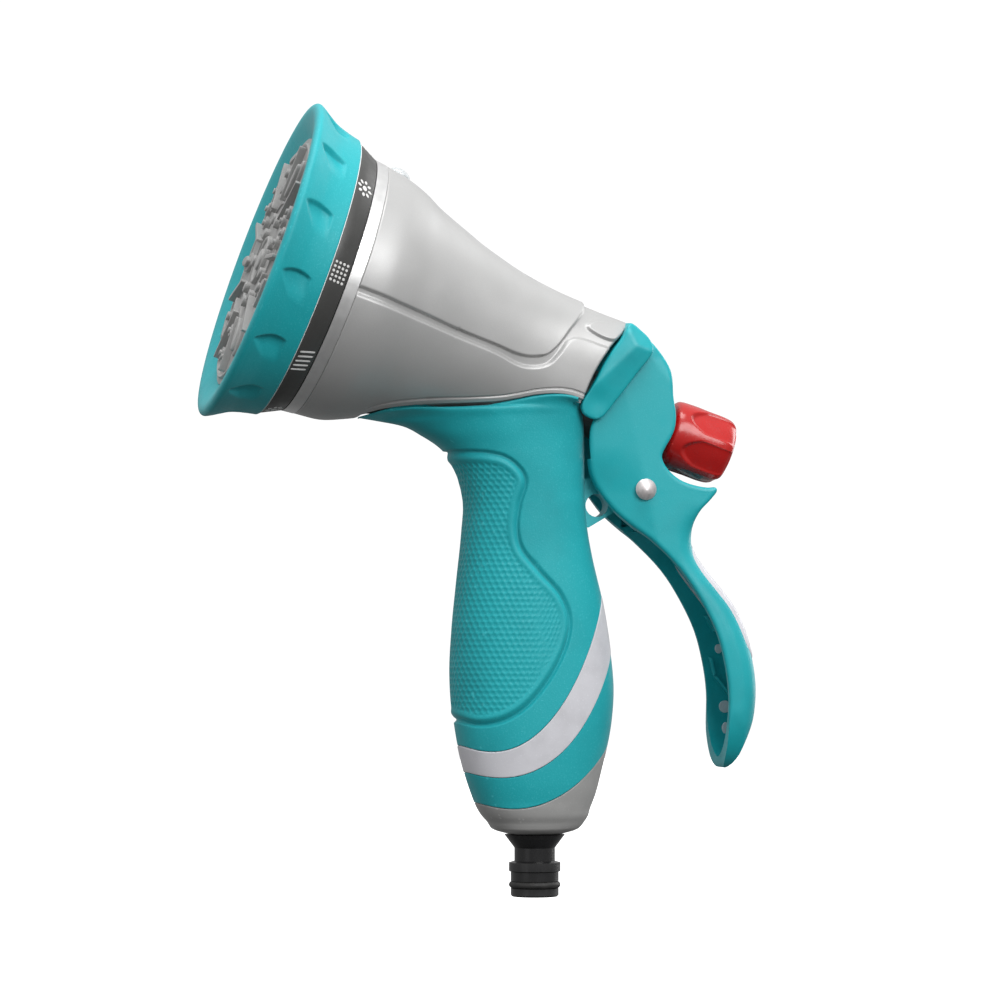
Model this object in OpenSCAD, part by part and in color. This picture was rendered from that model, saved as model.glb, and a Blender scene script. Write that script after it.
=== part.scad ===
// Hand-held spray gun for a garden or wash-down hose.
// The origin is the centre of the hose spigot's end face, +Z runs up the handle,
// and the rotating spray head looks forward and up along -X.

/* [Head] */
// Forward lean of the head axis above horizontal, degrees
head_tilt = 19.5; // [18:0.5:21]
// Outer radius of the grip rim at the very front
rim_r = 54.3; // [52:0.1:56]
// Number of selectable spray patterns
pattern_count = 9; // [6:1:10]
// Number of finger hollows around the grip rim
rim_hollow_count = 14; // [8:1:16]

/* [Casing] */
// Wall of the moulded casing shells
shell_wall = 2.2; // [1.6:0.1:2.8]
// Thickness of the soft grip over the handle core
grip_wall = 2.5; // [2:0.1:3]
// Roundness of the handle section, 1 is an ellipse and less is squarer
handle_round = 0.85; // [0.7:0.05:1]

/* [Hose spigot] */
// Radius of the plug nose that enters the hose connector
spigot_r = 7.9; // [7.9:0.1:8]
// Radius of the water bore through the spigot
bore_r = 4.6; // [3.5:0.1:5]

/* [Trigger] */
// Distance of the trigger pin behind the spigot axis
pin_x = 34.5; // [34:0.5:35]
// Height of the trigger pin above the spigot's end face
pin_z = 134; // [133.5:0.5:134.5]
// Radius of the trigger pin
pin_r = 2; // [1.8:0.1:2.2]
// Half width of the trigger lever
lever_half_w = 13.5; // [13.4:0.1:14]
// Radius of the hole for hanging the gun up
hang_hole_r = 3.8; // [3:0.1:3.8]

/* [Hidden] */
$fn = 64;

// Running clearance of a shaft in its bore, on the radius
run_gap = 0.05;
// Gap between parts that slide past each other
slide_gap = 0.3;

// Front centre of the dial ring, where the head's own axis starts
head_x = -76.4;
head_z = 203;
// Height of the valve stem's axis relative to the head axis
stem_t = -6;
// Place of the trigger pin along the head axis
pin_s = (pin_x - head_x) * cos(head_tilt) - (pin_z - head_z) * sin(head_tilt);
// Radius of the two noses on the lever that push the knob
nose_r = 2.5;
knob_front_s = pin_s + nose_r + slide_gap;
knob_len = 21.4;
knob_r = 11;
stem_r = 2.5;

teal = [0.10, 0.66, 0.70];
silver = [0.80, 0.80, 0.79];
dark = [0.20, 0.21, 0.22];
pale = [0.86, 0.86, 0.88];
grey = [0.58, 0.58, 0.58];
red = [0.78, 0.12, 0.10];
steel = [0.76, 0.75, 0.75];
rubber = [0.09, 0.09, 0.09];

// ---------- frames and lofts ----------

// Places children on the head axis: local Z runs back along it, s from the dial's front,
// and t is the distance above the axis
module head(s = 0, t = 0) {
    translate([head_x, 0, head_z])
        rotate([0, 90 + head_tilt, 0])
            translate([-t, 0, s])
                children();
}

// A wall between two matching stacks of rings; closed rings go all the way round
module thick_band(outer, inner, closed = true) {
    n = len(outer[0]);
    m = len(outer);
    total = n * m;
    last = closed ? n - 1 : n - 2;
    function o(i, j) = i * n + j % n;
    function k(i, j) = total + i * n + j % n;
    points = concat([for (r = outer) each r], [for (r = inner) each r]);
    walls = [
        for (i = [0:m - 2], j = [0:last]) each [
            [o(i, j), o(i + 1, j), o(i + 1, j + 1)],
            [o(i, j), o(i + 1, j + 1), o(i, j + 1)],
            [k(i, j), k(i + 1, j + 1), k(i + 1, j)],
            [k(i, j), k(i, j + 1), k(i + 1, j + 1)]
        ]
    ];
    ends = [
        for (j = [0:last]) each [
            [o(0, j), o(0, j + 1), k(0, j + 1)],
            [o(0, j), k(0, j + 1), k(0, j)],
            [o(m - 1, j), k(m - 1, j + 1), o(m - 1, j + 1)],
            [o(m - 1, j), k(m - 1, j), k(m - 1, j + 1)]
        ]
    ];
    edges = closed ? [] : [
        for (i = [0:m - 2]) each [
            [o(i, 0), k(i, 0), k(i + 1, 0)],
            [o(i, 0), k(i + 1, 0), o(i + 1, 0)],
            [o(i, n - 1), k(i + 1, n - 1), k(i, n - 1)],
            [o(i, n - 1), o(i + 1, n - 1), k(i + 1, n - 1)]
        ]
    ];
    polyhedron(points, concat(walls, ends, edges), convexity = 8);
}

// A solid through a stack of closed rings
module loft(rings) {
    n = len(rings[0]);
    m = len(rings);
    sides = [
        for (i = [0:m - 2], j = [0:n - 1]) each [
            [i * n + j, (i + 1) * n + j, (i + 1) * n + (j + 1) % n],
            [i * n + j, (i + 1) * n + (j + 1) % n, i * n + (j + 1) % n]
        ]
    ];
    low = [for (j = [0:n - 1]) j];
    high = [for (j = [n - 1:-1:0]) (m - 1) * n + j];
    polyhedron([for (r = rings) each r], concat(sides, [low, high]), convexity = 8);
}

// A round wire wound into a compression spring along +Z
module coil_spring(mean_r, wire_r, length, turns) {
    steps = 12;
    sides = 6;
    count = turns * steps;
    rise = (length - 2 * wire_r) / count;
    rings = [
        for (i = [0:count]) [
            for (j = [0:sides - 1])
                let (a = 360 * i / steps, b = -360 * j / sides, r = mean_r + wire_r * cos(b))
                [r * cos(a), r * sin(a), wire_r + rise * i + wire_r * sin(b)]
        ]
    ];
    loft(rings);
}

// ---------- handle ----------

ring_n = 28;
// Front edge, rear edge and half width of the handle at each height
front_edge = [
    [20.5, -8], [21.3, -11.5], [24.5, -15.6], [29, -19], [33, -20.7], [41, -23.4], [57, -26.8],
    [73, -28.1], [88, -27.4], [104, -25.8], [120, -24.1], [130, -23.5], [136, -24.8],
    [140, -26.2], [144, -28.6]
];
rear_edge = [
    [20.5, 8], [21.3, 11.5], [24.5, 16.2], [29, 18.2], [33, 19.8], [41, 22], [57, 25.5],
    [68, 26.3], [80, 25.3], [96, 22.8], [112, 19], [120, 17.5], [128, 16.6], [144, 16.3]
];
half_width = [
    [20.5, 8], [21.3, 10.5], [24.5, 13.2], [33, 15.4], [45, 16.6], [75, 17], [100, 16.2],
    [120, 15.6], [136, 16], [144, 16.6]
];

function power(v, p) = sign(v) * pow(abs(v), p);

// A point on the handle's surface moved out by e, at angle a round from the rear
function handle_point(a, z, e) =
    let (x1 = lookup(z, front_edge) - e, x2 = lookup(z, rear_edge) + e)
    [
        (x1 + x2) / 2 + (x2 - x1) / 2 * power(cos(a), handle_round),
        (lookup(z, half_width) + e) * power(sin(a), handle_round),
        z
    ];
function settle(edge, a, e, z, n) =
    n == 0 ? z : settle(edge, a, e, edge(handle_point(a, z, e)[0]), n - 1);

// The curved joints that run round the handle, as heights over x
cap_top = function (x) 29.3 + 0.0175 * pow(x + 10.4, 2);
stripe_low = function (x) 39.5 + 0.0185 * pow(x + 14.7, 2) + 5e-6 * pow(x + 14.7, 4);
stripe_high = function (x) 48 + 0.027 * pow(x + 17.5, 2) + 4e-6 * pow(x + 17.5, 4);
core_top = function (x) 146;

// Rings from one curved joint to the next
function band_rings(low, high, steps, e, low_gap = 0, high_gap = 0) = [
    for (i = [0:steps]) [
        for (j = [0:ring_n - 1])
            let (
                a = 360 * j / ring_n,
                z1 = settle(low, a, e, 60, 12) + low_gap,
                z2 = settle(high, a, e, 60, 12) - high_gap
            )
            handle_point(a, z1 + (z2 - z1) * i / steps, e)
    ]
];

module handle_band(low, high, steps, out, depth, low_gap = 0.1, high_gap = 0) {
    thick_band(
        band_rings(low, high, steps, out, low_gap, high_gap),
        band_rings(low, high, steps, out - depth, low_gap, high_gap)
    );
}

// Sections of the grip's top, which sweeps forward under the barrel:
// front point, rear point, half width, and how far the front is pointed
saddle = [
    [[-31.8, 147.8], [16.3, 150], 17, 0.05],
    [[-37.5, 151.6], [16.2, 154], 17.6, 0.15],
    [[-47.4, 155.2], [15.8, 158.5], 18.2, 0.35],
    [[-59.3, 157.2], [15.2, 163], 18.5, 0.6]
];
function saddle_ring(row, e) = [
    for (j = [0:ring_n - 1])
        let (
            a = 360 * j / ring_n,
            c = power(cos(a), handle_round),
            len_x = (row[1][0] - row[0][0]) / 2 + e,
            along = c * len_x / (len_x - e),
            mid = (row[0] + row[1]) / 2,
            half = (row[1] - row[0]) / 2,
            bow = row[3] * 3.6 * (1 - c * c),
            narrow = c < 0 ? 1 - row[3] * pow(-c, 1.5) : 1
        )
        [
            mid[0] + half[0] * along,
            (row[2] + e) * power(sin(a), handle_round) * narrow,
            mid[1] + half[1] * along + bow
        ]
];

// ---------- barrel ----------

// Place along the axis, height above it, depth below it, half width and squareness
barrel = [
    [11.2, 43.3, 43.3, 43.3, 1], [21, 41.5, 42, 41.6, 1], [27.5, 39.3, 39.3, 39, 1],
    [32.4, 36.9, 37, 36.6, 0.98], [38.2, 34.7, 35, 34, 0.96], [44, 32.7, 33, 31.4, 0.94],
    [50, 30.6, 30.8, 29, 0.92], [57, 28.7, 28.8, 26.6, 0.9], [64, 27, 27.2, 24.4, 0.88],
    [72, 25.7, 26, 22.3, 0.86], [81, 24.8, 25, 20.6, 0.84], [90, 24.3, 24.5, 19.4, 0.8],
    [97, 24.3, 24.6, 18.6, 0.76]
];
arc_n = 16;
// How fast the casing's back edge leans rearward with the height above the axis
rear_lean = 0.0162;
// Height of the seam between the barrel and the grip, over the place along the axis
function seam_t(s) = -36.7 + 0.4484 * (s - 32) + 2.9 * (1 - pow((s - 65.7) / 33.7, 2));
function seam_angle(row) =
    row[0] < 32 ? 0 : acos(min(1, pow(-seam_t(row[0]) / row[2], 1 / row[4])));
function barrel_ring(row, e) =
    let (low = seam_angle(row))
    [
        for (j = [0:arc_n])
            let (
                a = low + (180 - low) * j / arc_n,
                up = cos(a) < 0 ? row[1] : row[2],
                x = (up - e) * power(cos(a), row[4]),
                lean = row[0] > 95 && x < 0 ? rear_lean * x * x : 0
            )
            [x, (row[3] - e) * power(sin(a), row[4]), row[0] + lean]
    ];

module barrel_half() {
    head() thick_band(
        [for (row = barrel) barrel_ring(row, 0)],
        [for (row = barrel) barrel_ring(row, shell_wall)],
        false
    );
}

module barrel_shell_left() {
    color(silver) barrel_half();
}

module barrel_shell_right() {
    color(silver) mirror([0, 1, 0]) barrel_half();
}

// Polished ring that closes the front of the casing
module trim_ring() {
    color(steel) head() rotate_extrude()
        polygon([[41.3, 7.1], [43.8, 7.1], [43.4, 11], [41.3, 11]]);
}

port_r = 24;
spindle_r = 6;
detent_r = 33;
face_back_s = -12;
// Wall behind the dial with the spindle the dial turns on and the single water port
module front_bulkhead() {
    color(dark) head() difference() {
        union() {
            translate([0, 0, 11.2]) cylinder(h = 3, r = 38);
            translate([0, 0, -8]) cylinder(h = 20, r = spindle_r);
            translate([port_r, 0, 8.2]) cylinder(h = 9, r = 7.5);
            translate([-detent_r, 0, 8.2]) cylinder(h = 8, r = 4);
            for (a = [60, 120, 240, 300])
                rotate(a) translate([20, -1, 14]) cube([16, 2, 4]);
        }
        translate([0, 0, -9]) cylinder(h = 14, r = 1.6);
        translate([port_r, 0, 0]) cylinder(h = 30, r = 4);
        translate([port_r, 0, 8]) cylinder(h = 4, r = 6);
        translate([-detent_r, 0, 7]) cylinder(h = 7.5, r = 2.2);
    }
}

// Small translucent marker on top that shows the chosen pattern
module pattern_pointer() {
    slope = 10.4;
    color(pale) head(s = 17.5, t = 42.3) rotate([0, slope - 90, 0]) rotate_extrude()
        polygon([[0, 0], [3.6, 0], [3.4, 1], [2.6, 1.9], [1.3, 2.4], [0, 2.5]]);
}

// Yoke that closes the back of the casing and covers the lever's upper end
module rear_shroud() {
    outline = [
        [29, 189], [22.5, 179.5], [17, 170.3], [13.6, 163.4], [13, 160.3], [14.2, 158],
        [17, 156.8], [19.4, 157.5], [24.2, 163.3], [31.5, 172.8], [35.4, 177.4], [36.2, 180.5],
        [35, 184.3], [32, 187]
    ];
    inner = lever_half_w + 0.6;
    outer = 17.8;
    color(teal) {
        for (side = [-1, 1])
            translate([0, side * (inner + outer) / 2, 0])
                rotate([90, 0, 0])
                    linear_extrude(outer - inner, center = true) polygon(outline);
        rotate([90, 0, 0]) linear_extrude(2 * inner, center = true)
            polygon([[30.4, 188], [27, 184.5], [29.4, 183], [34, 184.9], [32, 187]]);
        difference() {
            head(s = 101.8) translate([-13, -inner, 0]) cube([25, 2 * inner, 1.6]);
            head(s = 90, t = stem_t) cylinder(h = 30, r = 12.3);
        }
    }
}

// Rigid tube inside the grip that joins the barrel, the pivot bracket and the end cap
module handle_core() {
    color(grey) difference() {
        handle_band(cap_top, core_top, 8, -grip_wall - 0.4, 2, 2.5, 0);
        translate([10, -4.2, 121]) cube([12, 8.4, 17]);
    }
}

module grip_sleeve_upper() {
    lower_out = band_rings(stripe_high, core_top, 6, 0, 0.1, 0);
    lower_in = band_rings(stripe_high, core_top, 6, -grip_wall, 0.1, 0);
    color(teal) difference() {
        thick_band(
            concat(lower_out, [for (row = saddle) saddle_ring(row, 0)]),
            concat(lower_in, [for (row = saddle) saddle_ring(row, -grip_wall)])
        );
        translate([10, -4.2, 121]) cube([12, 8.4, 17]);
        head(s = 70, t = stem_t) cylinder(h = 40, r = housing_r + 0.3);
    }
}

module grip_stripe() {
    color(pale) handle_band(stripe_low, stripe_high, 3, 0.1, grip_wall + 0.1);
}

module grip_sleeve_lower() {
    color(teal) handle_band(cap_top, stripe_low, 2, 0, grip_wall);
}

// Raised textured pad that the palm and fingers press on
module grip_pad() {
    outline = [
        [-30, 144.5], [-19, 144.2], [-11, 141.2], [-7.4, 136.5], [-10.6, 122], [-9.2, 114],
        [-2.6, 106], [4.5, 98.5], [7.3, 91], [6.1, 83.8], [0.6, 73], [-7.1, 63.4],
        [-14.5, 58.6], [-22.4, 58], [-29, 61]
    ];
    difference() {
        intersection() {
            loft(band_rings(stripe_high, core_top, 6, 0.8));
            translate([0, 20.2, 0]) rotate([90, 0, 0]) linear_extrude(20) polygon(outline);
        }
        loft(band_rings(stripe_high, core_top, 6, 0.1));
    }
}

module grip_pad_left() {
    color(teal) grip_pad();
}

module grip_pad_right() {
    color(teal) mirror([0, 1, 0]) grip_pad();
}

// Moulded cap that closes the handle's foot round the spigot
module handle_end_cap() {
    floor_z = function (x) 21.4;
    color(grey) {
        thick_band(
            band_rings(floor_z, cap_top, 6, 0),
            band_rings(floor_z, cap_top, 6, -grip_wall)
        );
        difference() {
            translate([0, 0, 20.5]) cylinder(h = 2.6, r1 = 8, r2 = 9.4);
            translate([0, 0, 15]) cylinder(h = 20, r = 7.2);
        }
    }
}

// ---------- water path ----------

// Quick-connect plug with its seal groove, collar and threaded upper end
module hose_spigot() {
    nose = spigot_r;
    color(rubber) rotate_extrude() polygon([
        [bore_r, 0], [nose - 0.5, 0], [nose, 0.5], [nose, 2.7], [6.3, 2.7], [6.3, 5.1],
        [nose, 5.1], [nose, 8.1], [8.5, 8.4], [8.5, 11.2], [6.7, 11.7], [6.7, 16],
        [10, 20.4], [7.1, 20.4], [7.1, 31], [10, 31], [10, 34], [bore_r, 34]
    ]);
}

module spigot_oring() {
    color(rubber) rotate_extrude() translate([7.4, 3.9]) circle(r = 1.1);
}

module inlet_screen() {
    color(steel) translate([0, 0, 34.1]) difference() {
        cylinder(h = 0.6, r = 6.4);
        for (a = [0:60:300])
            rotate(a) translate([2.6, 0, -1]) cylinder(h = 3, r = 0.9);
        translate([0, 0, -1]) cylinder(h = 3, r = 0.9);
    }
}

module spigot_gasket() {
    color(rubber) translate([0, 0, 34.8]) difference() {
        cylinder(h = 1.6, r = 6.8);
        translate([0, 0, -1]) cylinder(h = 4, r = bore_r);
    }
}

tube_top = 156;
// Riser that carries water up the handle
module water_tube() {
    color(grey) translate([0, 0, 36.5]) difference() {
        cylinder(h = tube_top - 36.5, r = 6.5);
        translate([0, 0, -1]) cylinder(h = tube_top, r = 4.6);
    }
}

housing_r = 11;
chamber_r = 9.5;
seat_s = 70;
gland_s = 104.5;
// Chamber that holds the valve, with a socket for the riser and a seat in its front wall
module valve_housing() {
    color(grey) difference() {
        union() {
            head(s = seat_s - 4, t = stem_t) cylinder(h = gland_s - seat_s + 8, r = housing_r);
            translate([0, 0, 147]) cylinder(h = 22, r = 8.6);
        }
        head(s = seat_s, t = stem_t) cylinder(h = 60, r = chamber_r);
        head(s = seat_s - 10, t = stem_t) cylinder(h = 20, r = 4);
        translate([0, 0, 140]) cylinder(h = tube_top - 140 + 0.2, r = 6.5);
        translate([0, 0, 140]) cylinder(h = 26, r = 4.6);
    }
}

module valve_gland() {
    color(dark) head(s = gland_s, t = stem_t) difference() {
        union() {
            translate([0, 0, -4]) cylinder(h = 8, r = chamber_r);
            translate([0, 0, 4]) cylinder(h = 3, r = 11);
        }
        translate([0, 0, -5]) cylinder(h = 20, r = stem_r + run_gap);
        translate([0, 0, -5]) cylinder(h = 5, r = 4.5);
    }
}

module gland_oring() {
    color(rubber) head(s = gland_s - 1.2, t = stem_t) rotate_extrude()
        translate([3.55, 0]) circle(r = 0.95);
}

spring_start_s = seat_s + 6.2;
spring_end_s = gland_s - 4.2;
module valve_spring() {
    color(steel) head(s = spring_start_s, t = stem_t)
        coil_spring(6.2, 0.6, spring_end_s - spring_start_s, 7);
}

// Slanted duct from the valve seat forward to the port in the bulkhead
module waterway_tube() {
    run = 66 - 17.4;
    drop = port_r + stem_t;
    slant = atan(drop / run);
    color(grey) intersection() {
        head(s = 17.4, t = -port_r) rotate([0, -slant, 0]) translate([0, 0, -12]) difference() {
            cylinder(h = 80, r = 6);
            translate([0, 0, -1]) cylinder(h = 90, r = 4);
        }
        head(s = 17.4, t = -60) translate([-50, -20, 0]) cube([100, 40, 48.4]);
    }
}

module port_seal() {
    color(rubber) head(s = 5.7, t = -port_r) difference() {
        cylinder(h = 4.4, r = 5.9);
        translate([0, 0, -1]) cylinder(h = 6, r = 3.6);
    }
}

module port_spring() {
    color(steel) head(s = 10.2, t = -port_r) coil_spring(5.1, 0.25, 1.7, 1);
}

module detent_ball() {
    color(steel) head(s = 7.5, t = detent_r) sphere(r = 2);
}

module detent_spring() {
    color(steel) head(s = 9.6, t = detent_r) coil_spring(1.5, 0.3, 4.8, 4);
}

// Screw that keeps the dial on its spindle
module hub_screw() {
    color(steel) head() {
        translate([0, 0, -9.6]) cylinder(h = 1.5, r = 8);
        translate([0, 0, -8.2]) cylinder(h = 12, r = 1.6);
    }
}

// ---------- rotating dial ----------

rim_hollow_turn = 22.3;
// Soft ring that is gripped to turn the dial, with a scooped lip
module bezel_grip() {
    color(teal) head() difference() {
        rotate_extrude() polygon([
            [42.8, -0.1], [42.8, -12.6], [44, -13.4], [49.6, -16.6], [52.4, -17.3], [53.8, -17],
            [rim_r, -16.3], [53.9, -14.6], [51.9, -11.2], [50.2, -8.5], [48.7, -4], [47.9, -0.1]
        ]);
        for (i = [0:rim_hollow_count - 1])
            rotate(rim_hollow_turn + i * 360 / rim_hollow_count)
                translate([56.4, 0, -7.5]) rotate([0, -14, 0])
                    cylinder(h = 7, r1 = 3, r2 = 6.4);
    }
}

module dial_ring() {
    color(dark) head() rotate_extrude()
        polygon([[42.8, 0], [47.3, 0], [43.9, 6.8], [42.8, 6.8]]);
}

// Lift of the printed marks, so that flat marks clear the curved ring
print_gap = 0.03;
// Turn of the first pictogram from the water port
sign_turn = 32;
// Outer radius of the dial ring where the pictograms sit
function dial_r(s) = 47.3 - s * 0.5;

dial_slope = atan(0.5);
// Pictogram dots and bars printed on the sloping dial ring
module dial_mark(s, across, size_s, size_a) {
    rotate(across / dial_r(s) * 180 / PI)
        translate([dial_r(s), 0, s])
            rotate([0, -dial_slope, 0])
                translate([print_gap + 0.15, 0, 0])
                    cube([0.3, size_a, size_s], center = true);
}

// The pictograms: a square spray of dots, bars, and a ring of dots round a centre
module pattern_sign(kind) {
    if (kind == 0)
        for (u = [-2:1:2], v = [-1.5:1:1.5])
            dial_mark(3.4 + v * 1.25, u * 1.35, 0.75, 0.75);
    if (kind == 1)
        for (v = [-2:1:2])
            dial_mark(3.4, v * 1.3, 4.6, 0.55);
    if (kind == 2) {
        dial_mark(3.4, 0, 1.2, 1.2);
        for (k = [0:5])
            dial_mark(3.4 + 1.9 * sin(60 * k), 2.2 * cos(60 * k), 0.9, 0.9);
    }
}

module dial_icons() {
    color(pale) head()
        for (i = [0:pattern_count - 1])
            rotate(i * 360 / pattern_count + sign_turn) pattern_sign(i % 3);
}

// Perforated front plate with rings of jets round a hub
module spray_face() {
    front = -14;
    color(grey) head() difference() {
        union() {
            translate([0, 0, front]) cylinder(h = face_back_s - front, r = 42.6);
            translate([0, 0, front - 1.6]) cylinder(h = 2, r = 8);
            for (i = [0:pattern_count - 1])
                rotate(i * 360 / pattern_count) translate([7.5, -0.6, front - 1.2]) cube([33, 1.2, 2]);
        }
        for (i = [0:23])
            rotate(i * 15 + 7.5) translate([36, 0, front - 2]) cylinder(h = 6, r = 1.1);
        for (i = [0:15])
            rotate(i * 22.5 + 11.25) translate([25, 0, front - 2]) cylinder(h = 6, r = 1);
        for (i = [0:7])
            rotate(i * 45 + 22.5) translate([15, 0, front - 2]) cylinder(h = 6, r = 1);
    }
}

// Disc behind the face that lines one chamber up with the port
module selector_disc() {
    color(dark) head() difference() {
        union() {
            translate([0, 0, 2]) cylinder(h = 3.4, r = 42.5);
            difference() {
                translate([0, 0, face_back_s + 0.1]) cylinder(h = 15, r = 42.5);
                translate([0, 0, face_back_s - 1]) cylinder(h = 22, r = 40.5);
            }
            translate([0, 0, -7.8]) cylinder(h = 10, r = 10);
            for (i = [0:pattern_count - 1])
                rotate((i + 0.5) * 360 / pattern_count)
                    translate([9, -0.7, face_back_s + 0.1]) cube([32, 1.4, 15]);
        }
        translate([0, 0, -10]) cylinder(h = 20, r = spindle_r + run_gap);
        translate([0, 0, face_back_s]) cylinder(h = 4.2, r = 10.5);
        for (i = [0:pattern_count - 1])
            rotate(i * 360 / pattern_count) {
                translate([port_r, 0, 0]) cylinder(h = 8, r = 3.2);
                rotate(180) translate([detent_r, 0, 7.3]) sphere(r = 2.3);
            }
    }
}

// ---------- trigger ----------

// Plate behind the handle that carries the trigger pin and the hanging hole
module pivot_bracket() {
    color(teal) rotate([90, 0, 0]) difference() {
        linear_extrude(8, center = true) difference() {
            union() {
                polygon([[12.5, 137.5], [12.5, 121.5], [17.5, 121.6], [26, 126.6], [pin_x, 127.9],
                    [pin_x, 140.1], [28, 138.6]]);
                translate([pin_x, pin_z]) circle(r = 6.1);
            }
        }
        translate([20.2, 128.9, 0]) cylinder(h = 20, r = hang_hole_r, center = true);
        translate([pin_x, pin_z, 0]) cylinder(h = 20, r = pin_r, center = true);
    }
}

module pivot_pin() {
    half = lever_half_w + slide_gap;
    color(steel) translate([pin_x, 0, pin_z]) rotate([90, 0, 0]) {
        cylinder(h = 2 * half, r = pin_r, center = true);
        for (side = [0, 180])
            rotate([side, 0, 0]) translate([0, 0, half]) intersection() {
                cylinder(h = 1.6, r = 3.5);
                translate([0, 0, -3.4]) sphere(r = 5);
            }
    }
}

lever_outline = [
    [37, 182.6], [42.1, 176.3], [44, 170], [44.2, 164], [45.1, 158.6], [44.6, 153.5],
    [42, 148.2], [40.3, 145.4], [40.9, 143], [43.3, 139.7], [46.7, 137.2], [51.1, 135.6],
    [56.4, 134.6], [59.4, 134.9], [57, 130.9], [53.5, 127.1], [51.5, 122.7], [51.4, 118],
    [52.9, 113.4], [56.4, 108], [61, 102.3], [65.4, 96.6], [68.9, 90], [71.1, 83.6],
    [72.6, 76.6], [73.2, 68], [72.3, 58.3], [70.2, 52], [67.3, 46.2], [65.2, 42.6],
    [63.6, 42.2], [62.4, 46.6], [62, 56.7], [62.1, 66.9], [60.7, 77.1], [58.1, 87.3],
    [53.2, 97.5], [46.4, 107.7], [36.6, 117.4], [31.8, 121.2], [26.4, 124.6], [25.2, 127.6],
    [24.4, 131.6], [19.4, 133.9], [16.9, 136.4], [16.1, 139.5], [15.9, 146], [16, 153], [17, 156.4],
    [19, 160], [23.4, 166], [29.5, 172.8], [34.2, 177.4], [36.2, 180.4]
];
// Space between the cheeks round the bracket, the valve neck and the knob
upper_space = [
    [10, 119], [31, 117], [38, 123], [43, 129.5], [43.2, 135.5], [50, 132.8], [58.2, 132.3],
    [70, 134], [70, 200], [10, 200]
];
// Channel down the inside of the long arm
lower_space = [
    [20, 118], [42, 119.5], [47.6, 117.5], [49.3, 111.9], [53.4, 106.4], [58.2, 100.2],
    [62.5, 94.6], [65.7, 88.4], [67.9, 82.6], [69.3, 76], [69.9, 68], [69.1, 59.2],
    [67.2, 53.4], [64.6, 48.2], [62.8, 46], [57, 44.6], [40, 44]
];
inner_half_w = knob_r + 0.4;

module lever_slab(half, points) {
    rotate([90, 0, 0]) linear_extrude(2 * half, center = true) polygon(points);
}

// Bent lever: two cheeks straddle the pin and the knob, a channelled arm follows the hand
module trigger_lever() {
    color(teal) {
        difference() {
            lever_slab(lever_half_w, lever_outline);
            lever_slab(inner_half_w, upper_space);
            lever_slab(inner_half_w, lower_space);
            translate([pin_x, 0, pin_z]) rotate([90, 0, 0])
                cylinder(h = 60, r = pin_r + run_gap, center = true);
        }
        for (side = [-1, 1])
            translate([0, side * (inner_half_w - 2.4), 0])
                head(s = pin_s, t = stem_t) rotate([90, 0, 0])
                    cylinder(h = 5, r = nose_r, center = true);
    }
}

// Pale strip let into the back of the lever
module trigger_inlay() {
    strip = [
        [51.5, 117.6], [53, 113.4], [56.5, 108.1], [61.1, 102.4], [65.5, 96.7], [69, 90],
        [71.2, 83.6], [72.4, 78.4], [72.9, 78.5], [71.6, 83.8], [69.5, 90.3], [65.9, 97],
        [61.5, 102.8], [57, 108.4], [53.5, 113.6], [52, 117.8]
    ];
    color(pale) translate([print_gap, 0, print_gap]) lever_slab(11, strip);
}

// ---------- valve stem and knob ----------

module valve_stem() {
    front = seat_s + 1.8;
    color(steel) head(t = stem_t) {
        translate([0, 0, front]) cylinder(h = knob_front_s + knob_len - 3 - front, r = stem_r);
        translate([0, 0, front]) cylinder(h = 4.2, r = 7);
    }
}

module valve_seal() {
    color(rubber) head(s = seat_s + 0.1, t = stem_t) cylinder(h = 1.6, r = 6.6);
}

// Red knob on the stem that sets how far the valve may open
module flow_knob() {
    scallops = 7;
    r = knob_r;
    h = knob_len;
    color(red) head(s = knob_front_s, t = stem_t) difference() {
        rotate_extrude() polygon([
            [0, 0], [r - 1.6, 0], [r, 1.6], [r, h - 4.5], [r - 0.6, h - 2.5], [r - 2, h - 0.8],
            [r - 4, h], [0, h]
        ]);
        translate([0, 0, -1]) cylinder(h = h - 1.5, r = stem_r + run_gap);
        for (i = [0:scallops - 1])
            rotate(i * 360 / scallops) translate([r + 5, 0, 4])
                rotate([0, 4, 0]) cylinder(h = h, r = 5.8);
    }
}

barrel_shell_left();
barrel_shell_right();
trim_ring();
front_bulkhead();
pattern_pointer();
rear_shroud();
handle_core();
grip_sleeve_upper();
grip_stripe();
grip_sleeve_lower();
grip_pad_left();
grip_pad_right();
handle_end_cap();
hose_spigot();
spigot_oring();
spigot_gasket();
inlet_screen();
water_tube();
valve_housing();
valve_gland();
gland_oring();
valve_spring();
waterway_tube();
port_seal();
port_spring();
detent_ball();
detent_spring();
hub_screw();
pivot_bracket();
pivot_pin();
bezel_grip();
dial_ring();
dial_icons();
spray_face();
selector_disc();
trigger_lever();
trigger_inlay();
valve_stem();
valve_seal();
flow_knob();
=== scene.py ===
"""Looks of the hose spray gun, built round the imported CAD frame."""

import math

import bmesh
import bpy
import numpy as np
from mathutils import Matrix, Vector
from mathutils.geometry import delaunay_2d_cdt


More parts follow.
